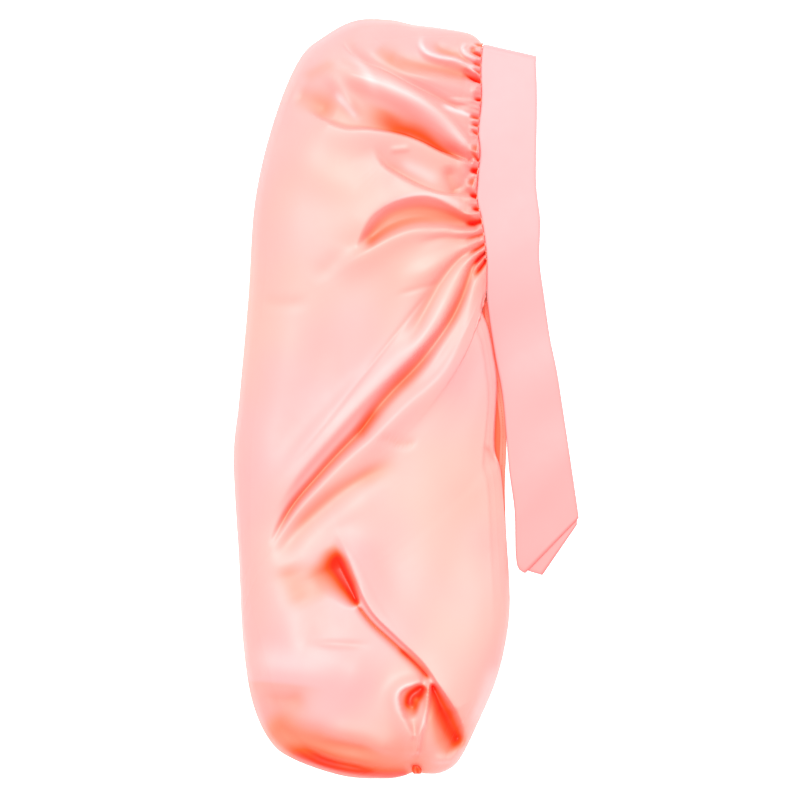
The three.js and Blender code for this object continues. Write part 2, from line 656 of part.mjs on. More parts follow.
// Unit normals of a grid of points, averaged from the triangles round each and shared where points coincide.
function normalsOf(grid) {
  const key = (p) => p.toArray().map((v) => v.toFixed(4)).join();
  const sums = new Map();
  for (const [a, b, c] of sheet(grid)) {
    const normal = new THREE.Vector3().subVectors(b, a).cross(new THREE.Vector3().subVectors(c, a));
    if (normal.lengthSq() > 0) normal.normalize();
    for (const p of [a, b, c]) sums.set(key(p), (sums.get(key(p)) ?? new THREE.Vector3()).add(normal));
  }
  return grid.map((row) => row.map((p) => sums.get(key(p)).clone().normalize()));
}

// At the open mouth the wall is cut square, so that its rim stands against the band.
function squareRim(normals) {
  const rows = ribs();
  normals.forEach((row, i) => {
    if (rows[i].front >= 2) return;
    row[0] = new THREE.Vector3(0, 0, 1);
    row[row.length - 1] = new THREE.Vector3(0, 0, -1);
  });
  for (const normal of normals[0]) normal.setX(0).normalize();
  return normals;
}

const offset = (grid, normals, distance) =>
  grid.map((row, i) => row.map((p, j) => p.clone().addScaledVector(normals[i][j], distance)));

const averageOf = (points) =>
  points.reduce((sum, p) => sum.add(p), new THREE.Vector3()).divideScalar(points.length);

// A closed slab between two grids that match point for point.
function slabGeometry(top, bottom) {
  const last = top[0].length - 1;
  const sides = [];
  for (let i = 0; i < top.length - 1; i++) {
    sides.push(...patch(top[i][0], top[i + 1][0], bottom[i + 1][0], bottom[i][0]));
    sides.push(...patch(top[i + 1][last], top[i][last], bottom[i][last], bottom[i + 1][last]));
  }
  for (let j = 0; j < last; j++) {
    sides.push(...patch(top[0][j + 1], top[0][j], bottom[0][j], bottom[0][j + 1]));
    sides.push(...patch(top.at(-1)[j], top.at(-1)[j + 1], bottom.at(-1)[j + 1], bottom.at(-1)[j]));
  }
  return meshOf([...sheet(top), ...flipped(sheet(bottom)), ...sides]);
}

// A panel of one layer as a slab between the columns `from` and `to` and between two ribs. Where it is sewn
// to the other layer it ends SEAM_GAP short of their common line, on the side that `away` says: 1 above it
// and -1 below. It ends as far short of the rib that it shares with the next panel.
function panelGeometry(from, to, away, start, end) {
  const isClosed = (i) => ribs()[i].front >= 2;
  const isSewn = (i, j) => j === upperEnd || (isClosed(i) && (j === 0 || j === lowerEnd));
  const innerRib = (i) => {
    if (i === end) return i - 1;
    return i === start && start > 0 ? i + 1 : i;
  };
  const part = (grid) => grid.slice(start, end + 1).map((row, k) => {
    const i = start + k;
    const inner = innerRib(i);
    return row.slice(from, to + 1).map((p, n) => {
      const j = from + n;
      const ribGap = outside[i][j].distanceTo(outside[inner][j]);
      const share = Math.min(MOST_PANEL_SHARE, SEAM_GAP / Math.max(SEAM_GAP, ribGap));
      const moved = p.clone().lerp(grid[inner][j], share);
      return isSewn(i, j) ? moved.setZ(moved.z + away * SEAM_GAP) : moved;
    });
  });
  return slabGeometry(part(outside), part(inside));
}

// The drawn tail: the last ribs as one solid, a little clear of the hollow bag.
function plugGeometry() {
  const first = outside.length - 1 - PLUG_RIBS;
  const start = outside[first].map((p, j) => p.clone().lerp(outside[first + 1][j], PLUG_GAP));
  const rings = [start, ...outside.slice(first + 1)].map((row) => row.slice(0, -1).reverse());
  const tip = averageOf(rings.at(-1)).setY(FRONT_OUTLINE.at(-1)[1] - TIP_DROP);
  return tubeGeometry(rings, tip);
}

// The hem turned inside along the open nape: a narrow slab against the inner face of one layer.
function hemGeometry(column) {
  const rows = ribs().flatMap((rib, i) => (rib.front > HEM_FROM && rib.front < HEM_TO ? [i] : []));
  const strip = (grid) => rows.map((i) => grid[i].slice(column, column + HEM_COLUMNS));
  const near = offset(inside, outwards, -HEM_GAP);
  const far = offset(inside, outwards, -HEM_GAP - HEM_THICKNESS);
  return slabGeometry(strip(near), strip(far));
}

// Half of the band, from the fold over the top of the head to a tie's tip, as pairs of points on its edges.
function bandHalf(leftTip, rightTip, lift) {
  const left = new Path([...SEAM, ...TIE_LEFT.slice(1, -2), ...leftTip]);
  const right = new Path([...BAND_RIGHT.slice(0, -1), rightTip]);
  const rows = [];
  for (let k = 0; k <= BAND_STEPS; k++) {
    const share = mix(TURN / left.length, 1, k / BAND_STEPS);
    const distance = share * left.length;
    const a = left.at(distance);
    const b = right.at(share * right.length - BAND_FALL * (1 - share));
    rows.push([a, b].map((p, side) => new THREE.Vector3(p.x, p.y, lift(distance, side))));
  }
  return rows;
}

// Height of the upper half's middle surface: level with the gathers, then down on to the lower tie, rippled a
// little along its free edge. `side` is 0 at the seam and 1 at the free edge.
function upperLift(distance, side) {
  const level = SEAM_TOP - CLOTH / 2 - side * BAND_FALL;
  const settle = smooth((distance - seam.length + SETTLE_START) / SETTLE_LENGTH);
  const wave = Math.sin((Math.PI * (distance - RIPPLE.from)) / RIPPLE.pitch) ** 2;
  const grown = smooth((distance - RIPPLE.from) / RIPPLE.rise) * smooth((RIPPLE.to - distance) / RIPPLE.fade);
  return mix(level, TIE_LEVEL, settle) + side * RIPPLE.height * wave * grown;
}

// The band's rounded section at row i of the pairs of edge points.
function bandRing(rows, i) {
  const [a, b] = rows[i];
  const ahead = averageOf(rows[Math.min(i + 1, rows.length - 1)]);
  const behind = averageOf(rows[Math.max(i - 1, 0)]);
  const across = b.clone().sub(a).normalize();
  const normal = across.clone().cross(ahead.sub(behind)).normalize().negate();
  const half = BAND / 2;
  const flank = half - BAND_EDGE;
  const section = [
    [0, 0, flank], [0, BAND_EDGE, half], [1, -BAND_EDGE, half], [1, 0, flank],
    [1, 0, -flank], [1, -BAND_EDGE, -half], [0, BAND_EDGE, -half], [0, 0, -flank],
  ];
  return section.map(([share, inset, height]) =>
    a.clone().lerp(b, share).addScaledVector(across, inset).addScaledVector(normal, height));
}

function bandGeometry() {
  const upper = bandHalf(TIE_LEFT.slice(-2), BAND_RIGHT.at(-1), upperLift);
  const lower = bandHalf(LOWER_TIE_TIP.left, LOWER_TIE_TIP.right, () => BAND / 2);
  const heading = new THREE.Vector2(...TURN_HEADING).normalize();
  const turn = [];
  for (let k = 1; k < FOLD_STEPS; k++) {
    const angle = (Math.PI * k) / FOLD_STEPS;
    const out = (TURN - BAND / 2) * Math.sin(angle);
    turn.push(upper[0].map((top, side) => {
      const level = mix(lower[0][side].z, top.z, 0.5 + 0.5 * Math.cos(angle));
      return new THREE.Vector3(top.x + heading.x * out, top.y + heading.y * out, level);
    }));
  }
  const rows = [...upper.reverse(), ...turn, ...lower];
  return tubeGeometry(rows.map((_, i) => bandRing(rows, i)));
}

// A closed solid through rings of points, with a fan over each end; the last fan may run to a tip of its own.
function tubeGeometry(rings, tip = averageOf(rings.at(-1))) {
  const triangles = [];
  const around = (ring, j) => ring[j % ring.length];
  for (let i = 0; i < rings.length - 1; i++)
    for (let j = 0; j < rings[i].length; j++) {
      const [here, ahead] = [rings[i], rings[i + 1]];
      triangles.push(...patch(here[j], ahead[j], around(ahead, j + 1), around(here, j + 1)));
    }
  const fan = (ring, centre) => ring.map((p, j) => [p, around(ring, j + 1), centre]);
  triangles.push(...fan(rings[0], averageOf(rings[0])), ...flipped(fan(rings.at(-1), tip)));
  return meshOf(triangles);
}

function tuftGeometry() {
  const rings = [0, 0.25, 0.7, 1].map((t) => {
    const radius = TUFT.radius * mix(1, TUFT.flare, Math.sin(t * TUFT.swell));
    return Array.from({ length: 2 * TUFT.pleats }, (_, k) => {
      const angle = (-Math.PI * k) / TUFT.pleats;
      const r = radius + (k % 2 ? -1 : 1) * TUFT.depth * mix(0.4, 1, t);
      const y = TUFT.y - t * TUFT.length;
      return new THREE.Vector3(TUFT.x + r * Math.cos(angle), y, TUFT.z + r * Math.sin(angle));
    });
  });
  return tubeGeometry(rings);
}

const satin = new THREE.MeshStandardMaterial({ color: 0xf7a8a0, roughness: 0.38, metalness: 0 });
const bandSatin = new THREE.MeshStandardMaterial({ color: 0xf9b4b0, roughness: 0.5, metalness: 0 });

const outside = bagSurface();
const outwards = squareRim(normalsOf(outside));
const inside = offset(outside, outwards, -CLOTH);
const upperEnd = FRONT_STEPS.length + GUIDE_STEPS.length + BACK_STEPS.length + 2 * BETWEEN - 1;
const lowerEnd = outside[0].length - 1;

const bonnet = new THREE.Group();
function add(name, geometry, material) {
  const mesh = new THREE.Mesh(geometry, material);
  mesh.name = name;
  bonnet.add(mesh);
}
for (const [layer, panels] of Object.entries(PANELS)) {
  const [from, to, away] = layer === "upper" ? [0, upperEnd, 1] : [upperEnd, lowerEnd, -1];
  panels.forEach(({ name, rib }, i) => {
    const end = i + 1 < panels.length ? ribIndex(panels[i + 1].rib) : outside.length - 1 - PLUG_RIBS;
    add(`${layer}_${name}`, panelGeometry(from, to, away, ribIndex(rib), end), satin);
  });
}
add("drawn_tail", plugGeometry(), satin);
add("tail_tuft", tuftGeometry(), satin);
add("tie_band", bandGeometry(), bandSatin);
add("upper_nape_hem", hemGeometry(0), satin);
add("lower_nape_hem", hemGeometry(lowerEnd + 1 - HEM_COLUMNS), satin);

// The middle of the whole piece is put at x = y = 0.
const middle = new THREE.Box3().setFromObject(bonnet).getCenter(new THREE.Vector3());
for (const mesh of bonnet.children) mesh.geometry.translate(-middle.x, -middle.y, 0);

export default bonnet;
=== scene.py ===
"""A long satin braid bonnet laid flat on its side, seen from straight above."""

import math

import bpy
import numpy as np
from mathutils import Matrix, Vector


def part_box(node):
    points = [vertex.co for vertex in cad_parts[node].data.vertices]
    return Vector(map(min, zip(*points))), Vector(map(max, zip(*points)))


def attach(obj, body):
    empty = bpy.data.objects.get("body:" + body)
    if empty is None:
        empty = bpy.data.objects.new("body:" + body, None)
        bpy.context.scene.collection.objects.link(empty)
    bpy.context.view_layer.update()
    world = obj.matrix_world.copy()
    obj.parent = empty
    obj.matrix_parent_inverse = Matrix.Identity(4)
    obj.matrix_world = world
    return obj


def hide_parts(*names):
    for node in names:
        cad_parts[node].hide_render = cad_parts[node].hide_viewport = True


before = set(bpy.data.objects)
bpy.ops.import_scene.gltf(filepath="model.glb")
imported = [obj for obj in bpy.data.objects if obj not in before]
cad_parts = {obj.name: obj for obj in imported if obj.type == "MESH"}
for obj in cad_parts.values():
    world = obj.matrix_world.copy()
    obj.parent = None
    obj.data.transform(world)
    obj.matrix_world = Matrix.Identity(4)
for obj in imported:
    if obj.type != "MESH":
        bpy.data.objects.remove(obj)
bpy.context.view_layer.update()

MM = 0.001

# The plan of the bonnet in millimetres, as in the solid model, before that model was centred.
SEAM = [
    (77, 355), (75, 330), (75.5, 298), (72.5, 266), (74, 245), (71, 202), (75.5, 180), (79, 157),
    (81, 136),
]
UPPER_HEM = [
    (81, 136), (80.5, 107), (75.6, 90), (82, 71), (87, 46), (91, 14), (88.5, -48), (95, -75),
    (101, -147),
]
LOWER_HEM = [
    (81, 136), (82, 100), (88, 62), (95, 20), (100.5, -17), (101, -50), (99.5, -94), (101, -147),
]
FRONT_OUTLINE = [
    (101, -147), (104, -202), (100, -242), (90, -282), (73, -322), (54, -360), (38, -373), (22, -375.5),
    (9, -373),
]
BACK_OUTLINE = [
    (76.5, 355), (64, 365), (34, 370), (8, 373), (-16, 378), (-50, 377.5), (-81, 362), (-107, 338),
    (-132, 278), (-151, 198), (-158, 98), (-167, -2), (-172.5, -62), (-167, -162), (-163, -242),
    (-154, -302), (-136, -342), (-111, -361), (-63, -377), (-23, -380), (-4, -378), (9, -373),
]
TIE_LEFT = [
    (81, 136), (81.5, 98), (89, 46), (97.4, -1), (103.5, -71), (109, -113), (111, -165),
    (119.5, -175.7),
]
BAND_RIGHT = [
    (129.5, 340), (131, 298), (130, 218), (134, 178), (133.5, 138), (139, 98), (145, 58), (153, 18),
    (165, -62), (171, -102), (173.5, -120),
]
LOWER_TIE_LEFT = [
    (84, 98), (97, 46), (104, -1), (107, -71), (111, -113), (112, -164), (137, -178),
]
LOWER_TIP_RIGHT = (172, -127)
GUIDE = [
    (70, 349), (40, 340), (0, 300), (-30, 240), (-50, 170), (-66, 90), (-80, 0), (-88, -80),
    (-74, -134), (-54, -166), (-36, -202), (-10, -238), (18, -264), (40, -292), (52, -326), (38, -356),
    (6, -378),
]

# Levels, thicknesses and reaches of the cloth, in millimetres.
SEAM_TOP = 15.7
HEM_TOP = 13
EDGE = 12  # the level of the outline, where the two layers meet
TURN = 7.5  # how far in from the outline the cloth has turned over, beside the band
UNDER_ROUND = 15  # the same in the lower layer, away from the band
HELD_AT_SEAM, HELD_AT_NAPE = 30, 50  # how far from there the cloth is still held down
TOP_REACH = 60  # how far from the seam's top the outline lies lower
RIM = 14  # how far in from the outline the folds have their full height
PLEAT_LIFT = 2.4
PLEAT_PITCH = 14
PLEAT_REACH = 22
GATHER_PITCH = 6.1
GATHER_LIFT = 0.7
GATHER_REACH = 8
UNEVEN_LIFT, UNEVEN_SIZE = 0.9, 60  # the broad uneven waves all over the cloth
LEAST_GAP = 9  # the folds go no lower than this
BAND = 2.6
BAND_SINK = 0.9  # how far the band's edge on the gathers lies below their top
BAND_SLOPE = 2  # how much lower still its other edge lies
BAND_ROUND = 0.025  # the share of its width over which each edge is rounded
BAND_WAVE, BAND_WAVE_SIZE = 0.35, 70  # the uneven waves of its upper half
CLEARANCE = 0.5
CLOTH = 0.9  # the satin here, thinner than in the solid model
HEM_THICKNESS = 0.6
HEM_INSIDE = 0.5  # how far inside the bag's cloth the hem lies
HEM_COLUMNS = 8  # how many columns of the layer's grid it is wide
HEM_ENDS = (1.02, 1.98)  # front places, as in the table of stations
TIE_LEVEL = 1.5 * BAND + CLEARANCE
TIE_WAVE, TIE_WAVE_LENGTH = 2.2, 110
TIE_WAVE_FROM, TIE_WAVE_TO = 300, 530  # distances down the band
TUFT_X, TUFT_Y, TUFT_Z = 9.5, -365, 24
TUFT_PLEATS, TUFT_RINGS = 7, 9
BAND_STEPS = 150
BAND_COLUMNS = (0, 0.008, 0.025, 0.06, 0.15, 0.27, 0.4, 0.5, 0.6, 0.73, 0.85, 0.94, 0.975, 0.992, 1)
FOLD_STEPS = 14
FOLD_WAY = (0.196, 0.981)  # the way the band's fold points at the top of the head
BEAD = ((-0.5, 0.35), (-0.3, 1), (0.3, 1), (0.5, 0.35))  # share along a stitch, share of its radius
BEAD_SIDES = 6
SEAM_PITCH, SEAM_STITCH, SEAM_THREAD = 2.6, 2.1, 0.55  # from stitch to stitch, length, radius
NAPE_PITCH, NAPE_STITCH, NAPE_THREAD = 2.9, 1.7, 0.3
NAPE_STITCH_ENDS = (1.1, 1.95)
NAPE_STITCH_COLUMN = 4

# Where the eye is in the plan, and how high above the outline. The picture is this many metres wide there.
EYE_X, EYE_Y = -6, -2
LENS, SENSOR, VIEW_WIDTH = 85, 36, 0.8
EYE_HEIGHT = VIEW_WIDTH * LENS / SENSOR / MM

# Colours: the bag's, from the painted highlight of its palest crest through its own pinks to the painted
# shade of its deepest fold, then those of the band, and the hem's painted shade.
PAINTED_HIGHLIGHT = (0.98, 0.5, 0.5)
PINK = (0.97, 0.275, 0.27)
PEACH = (0.97, 0.3, 0.26)
CORAL_SHADE = (0.97, 0.185, 0.125)
EMBER_SHADE = (0.96, 0.068, 0.01)
DEEPEST_SHADE = (0.8, 0.016, 0.002)
BAND_PALE = (0.96, 0.29, 0.295)
BAND_PINK = (0.95, 0.21, 0.2)
HEM_SHADE = (0.96, 0.08, 0.045)
# The amounts of painted highlight and painted shade in the bag's colour.
PAINTED_HIGHLIGHT_LIMIT = -0.3  # the least amount in the table of tones that still shows
SHADED = 0.35  # the amount at which the cloth is all coral
PUCKER_PAINTED_SHADE = 0.09  # how deep the colour goes for each millimetre of a gather's depth
NAPE_PAINTED_SHADE = 0.75  # how deep it is where the nape's lower layer shows
DENT_PAINTED_SHADE = 0.018  # how deep it goes for each millimetre that a fold lies below the open cloth
CORNER_PAINTED_SHADE = 0.03  # how deep it goes for each millimetre that a place lies below what is around it

# The sky's strength away from and towards one side, and the sun over it, with its size and tilt in degrees.
SKY_FROM = (-0.05, 0.1, 0.99)
SKY_LEAST, SKY_MOST = 0.05, 1.15
SUN, SUN_SIZE = 4.25, 32
SUN_TILT = (-17, -4)
FLOOR_LEVEL = -0.0004  # in metres, like its size
FLOOR_SIZE = 6

# front place, place round the back outline, bow at a third and at two thirds, ribs to the next row
STATIONS = [
    (0.034, 0, 0, 0, 4), (0.14, 75, -3, -5, 5), (0.235, 130, -6, -14, 3), (0.3, 158, -8, -10, 8),
    (0.54, 196, 13, 3, 4), (0.585, 268, 8, 4, 4), (0.7, 345, 8, 8, 5), (0.8, 425, 16, 3, 3),
    (0.855, 475, 13, 4, 3), (0.9, 530, -3, 1, 3), (0.93, 595, -11, -1, 3), (0.958, 695, -10, 7, 3),
    (0.98, 742, -12, 7, 3), (1, 772, -20, 9, 4), (1.35, 800, -14, 3, 4), (1.7, 828, -6, 1, 4),
    (2, 860, 0, 0, 4), (2.35, 912, 5, 4, 4), (2.6, 958, 9, 8, 4), (2.8, 998, 10, 10, 5),
    (2.975, 1042, 2, 2, 0),
]
RIB_DETAIL = 8  # fine ribs to each one of the solid model

# y, height, rounding at the back, rounding at the front
FULLNESS = [
    (380, 46, 60, 30), (290, 58, 72, 30), (180, 58, 62, 34), (20, 47, 48, 36), (-120, 47, 46, 38),
    (-240, 58, 54, 50), (-390, 60, 66, 66),
]

# path, height, half-widths on the left from start to end, half-widths on the right, shares over which it
# rises and fades, and how rounded the crest or the bottom is: 2 round, 1 creased
FOLDS = {
    "crown back ridge": (
        [(74, 303), (34, 317), (-21, 330), (-51, 368)], 6, (9, 12), (10, 16), (0.05, 0.2), 2),
    "top curl": (
        [(72, 320), (62, 331), (48, 337), (32, 340), (20, 345), (14, 354), (17, 366)],
        5.5, (5, 4), (4, 3), (0.08, 0.3), 1.9),
    "top curl dent": (
        [(58, 344), (42, 347), (28, 353), (24, 362)], -3.5, (5, 5), (6, 6), (0.4, 0.4), 2),
    "small curl": (
        [(70, 336), (60, 342), (56, 350), (62, 356)], 2.5, (2.5, 2.5), (2.5, 2.5), (0.1, 0.3), 2),
    "stitch crease": ([(75, 317), (68, 322), (56, 329)], -5, (1.8, 2), (1.8, 2), (0.1, 0.4), 1.3),
    "under the curl": (
        [(72, 314), (58, 321), (34, 329), (0, 336), (-21, 353)], -4, (7, 8), (4, 10), (0.05, 0.3), 2),
    "crown crease": (
        [(64, 284), (40, 297), (14, 310), (-6, 320), (-26, 330), (-42, 337), (-58, 349), (-66, 364)],
        -6, (2.5, 5), (4, 10), (0.15, 0.15), 1.4),
    "crown roll": (
        [(70, 233), (61, 250), (43, 273), (18, 293), (-8, 306), (-36, 317), (-66, 328), (-80, 346)],
        14, (10, 15), (7, 9), (0.05, 0.2), 2),
    "under the roll": (
        [(68, 235), (53, 243), (34, 250), (14, 260), (-6, 267), (-36, 271.5), (-66, 274)],
        -14, (2.2, 3), (5, 15, 20), (0.04, 0.5), 2),
    "shoulder edge": (
        [(68, 229), (51, 236), (33, 244), (14, 254), (-6, 261), (-36, 266), (-61, 267), (-86, 277),
         (-108, 290)],
        9, (12, 28), (2.4, 4), (0.05, 0.2), 1.8),
    "crown back slope": ([(-84, 332), (-63, 304), (-46, 280)], 4, (7, 6), (8, 6), (0.3, 0.3), 2),
    "crown back hollow": (
        [(-114, 308), (-93, 296), (-70, 284)], -6, (13, 12), (13, 14), (0.25, 0.3), 2),
    "under the shoulder line": (
        [(70, 204), (54, 205), (34, 207), (14, 214), (-6, 225), (-21, 235), (-34, 252)],
        -5, (1.8, 2), (7, 9), (0.04, 0.3), 1.5),
    "shoulder crease": (
        [(70, 199), (54, 200), (33, 202), (13, 209), (-8, 220), (-24, 231), (-38, 250)],
        5, (11, 22), (2, 3), (0.05, 0.3), 1.8),
    "shoulder pit": ([(42, 233), (44, 219), (52, 204)], -6, (6, 8), (6, 6), (0.35, 0.2), 2),
    "pit ridge": ([(52, 236), (58, 222), (66, 206)], 2.5, (5, 5), (4, 4), (0.25, 0.2), 2),
    "shoulder glint": ([(-18, 247), (6, 249)], 1.5, (3, 3), (3, 3), (0.3, 0.3), 2),
    "shoulder": ([(-140, 262), (-76, 225), (-10, 192)], 5, (30, 24), (28, 22), (0.3, 0.3), 2),
    "dent edge": (
        [(76, 178), (64, 182), (49, 190), (34, 198), (19, 202), (-1, 200), (-18, 194), (-34, 183),
         (-44, 168), (-52, 148)],
        5, (2.4, 4), (9, 22), (0.05, 0.2), 1.8),
    "deep dent": (
        [(74, 171), (60, 174), (40, 182), (16, 187), (-4, 184), (-20, 176), (-34, 163), (-48, 147)],
        -10, (4, 15, 13, 4), (4, 9, 10, 4), (0.04, 0.15), 3),
    "below the dent": (
        [(76, 166), (59, 166), (36, 169), (6, 167), (-19, 157), (-46, 141), (-76, 120)],
        7, (7, 18), (4, 9), (0.05, 0.3), 1.8),
    "fan valley 1": ([(76, 161), (60, 159), (36, 160), (8, 154)], -3.5, (3, 6), (3, 5), (0.05, 0.4), 2),
    "fan ridge": ([(76, 158), (50, 146), (22, 128), (-12, 108)], 3, (4, 12), (4, 12), (0.05, 0.35), 2),
    "fan valley 2": (
        [(79, 156), (69, 152), (51, 137), (35, 117), (20, 90), (6, 62), (-10, 40)],
        -6.5, (4, 8), (4, 10), (0.05, 0.35), 1.8),
    "fan crease": ([(36, 116), (12, 109), (-12, 103)], -1, (3, 3), (3, 3), (0.2, 0.4), 2),
    "sash ridge": (
        [(81, 147), (64, 129), (52, 105), (36, 78), (9, 50), (-36, 7), (-66, -25), (-113, -80),
         (-146, -134)],
        7, (7, 8), (13, 20), (0.05, 0.2), 2.4),
    "sash line": (
        [(24, 108), (-36, 30), (-80, -26), (-116, -68)], -1, (1.4, 1.6), (2, 3), (0.1, 0.2), 1.6),
    "sash valley": (
        [(80, 147), (66, 130), (58, 108), (47, 84), (32, 60), (14, 36), (-11, 10), (-32, -14),
         (-46, -33), (-66, -54), (-88, -78), (-115, -110), (-137, -150)],
        -12, (4, 5, 6, 6, 5, 3), (4, 6, 6, 5, 4, 3), (0.04, 0.15), 2),
    "sash pit": ([(28, 52), (8, 26), (-12, 2)], -2, (8, 8), (8, 8), (0.3, 0.3), 2),
    "sash pocket": ([(-24, -8), (-40, -28), (-50, -42)], -3, (6, 7), (6, 6), (0.35, 0.2), 2),
    "inner sash ridge": (
        [(82, 134), (70, 108), (62, 72), (40, 26), (2, -8), (-33, -42), (-69, -70), (-105, -106),
         (-134, -146)],
        5, (14, 14), (8, 9), (0.05, 0.2), 2),
    "second sash valley": (
        [(-2, -60), (-41, -78), (-81, -107), (-111, -135), (-132, -168)],
        -4.5, (12, 11), (8, 8), (0.25, 0.2), 2),
    "second sash ridge": (
        [(-20, -84), (-66, -118), (-96, -144), (-126, -180)], 1.5, (24, 18), (12, 12), (0.3, 0.3), 2),
    "front panel": (
        [(82, 113), (84, 48), (78, -32), (62, -102)], 4, (14, 26), (14, 28), (0.15, 0.35), 2),
    "tail dent": (
        [(-76, -148), (-67, -170), (-57, -190), (-48, -208)],
        -14, (4, 7, 7, 2), (10, 20, 13, 3), (0.4, 0.1), 2),
    "tail ridge": (
        [(-70, -128), (-58, -156), (-46, -188), (-32, -214), (-8, -238), (17, -262), (34, -286),
         (52, -314), (64, -342)],
        9, (22, 34), (8, 3, 3, 3.5), (0.14, 0.15), 1.8),
    "tail crease": (
        [(-48, -208), (-34, -226), (-11, -247), (11, -268), (24, -282)],
        -7, (1.5, 1.6), (2.6, 4), (0.06, 0.06), 1.5),
    "back hollow": (
        [(-122, -164), (-114, -186), (-104, -208)], -2.5, (20, 18), (18, 16), (0.35, 0.35), 2),
    "tail swell": ([(-138, -242), (-76, -266), (-21, -290)], 7, (28, 22), (30, 30), (0.3, 0.3), 2),
    "tail valley": (
        [(25, -284), (31, -300), (39, -318), (49, -338), (57, -350)],
        -16, (3, 7, 10, 9, 5), (2, 5, 8, 10, 9), (0.12, 0.12), 2.2),
    "draw cleft": ([(26, -287), (24, -304), (20, -328)], -6, (2.4, 2.4), (2, 2), (0.1, 0.3), 1.8),
    "draw ridge": (
        [(23, -281), (21, -312), (13, -338), (11, -362)], 8, (2.4, 4), (3, 3.5), (0.1, 0.15), 1.9),
    "tail curl": ([(60, -350), (46, -361), (22, -361)], 4, (4, 4), (5, 5), (0.2, 0.3), 2),
    "heart dent": (
        [(19, -288), (10, -295), (4, -303), (5, -322)],
        -10, (4, 6, 7, 4), (3, 6, 7, 4), (0.15, 0.3), 2.2),
    "heart edge": (
        [(20, -281), (8, -285), (-4, -290), (-8.5, -299), (-5, -314), (2, -328), (8, -342), (11, -362)],
        7, (2.4, 3), (6, 10, 14), (0.08, 0.12), 1.8),
    "heart crease": ([(19, -287), (12, -304), (5, -322)], -4, (2.5, 2.5), (2.5, 3), (0.15, 0.25), 2),
    "knot panel": ([(17, -308), (13, -326), (10, -344)], 2.5, (3, 3), (3, 3), (0.3, 0.3), 2),
    "draw valley": ([(7, -336), (10, -350), (12, -362)], -4, (3, 3), (3, 3), (0.2, 0.2), 1.6),
    "lower back hollow": (
        [(-148, -298), (-121, -304), (-94, -300)], -4, (9, 9), (14, 14), (0.35, 0.35), 2),
    "end crease": (
        [(-112, -346), (-84, -361), (-56, -368), (-24, -373)], -5, (5, 5), (4, 4), (0.3, 0.3), 1.9),
    "low hollow": (
        [(-144, -306), (-118, -334), (-76, -346), (-20, -354)], -7, (13, 12), (12, 12), (0.2, 0.2), 2),
    "end ridge": ([(-91, -332), (-41, -344), (-1, -354)], 4, (12, 12), (6, 6), (0.3, 0.25), 2),
    "body crease": (
        [(12, -47), (-4, -46), (-16, -42), (-28, -38)], -2.6, (2, 2), (3, 3), (0.2, 0.2), 1.4),
    "tail swell crease": (
        [(-102, -244), (-70, -246), (-30, -248)], -1.6, (4, 4), (4, 4), (0.4, 0.4), 2),
    "side wrinkle": ([(-150, 98), (-120, 94), (-92, 98)], -1, (8, 7), (7, 7), (0.3, 0.4), 2),
    "middle wrinkle": ([(-96, 116), (-76, 132), (-58, 148)], -1.2, (10, 10), (8, 8), (0.4, 0.4), 2),
    "hem pucker": ([(90, -62), (84, -54), (76, -47)], -3, (2.5, 2.5), (2.5, 2.5), (0.1, 0.5), 2),
}
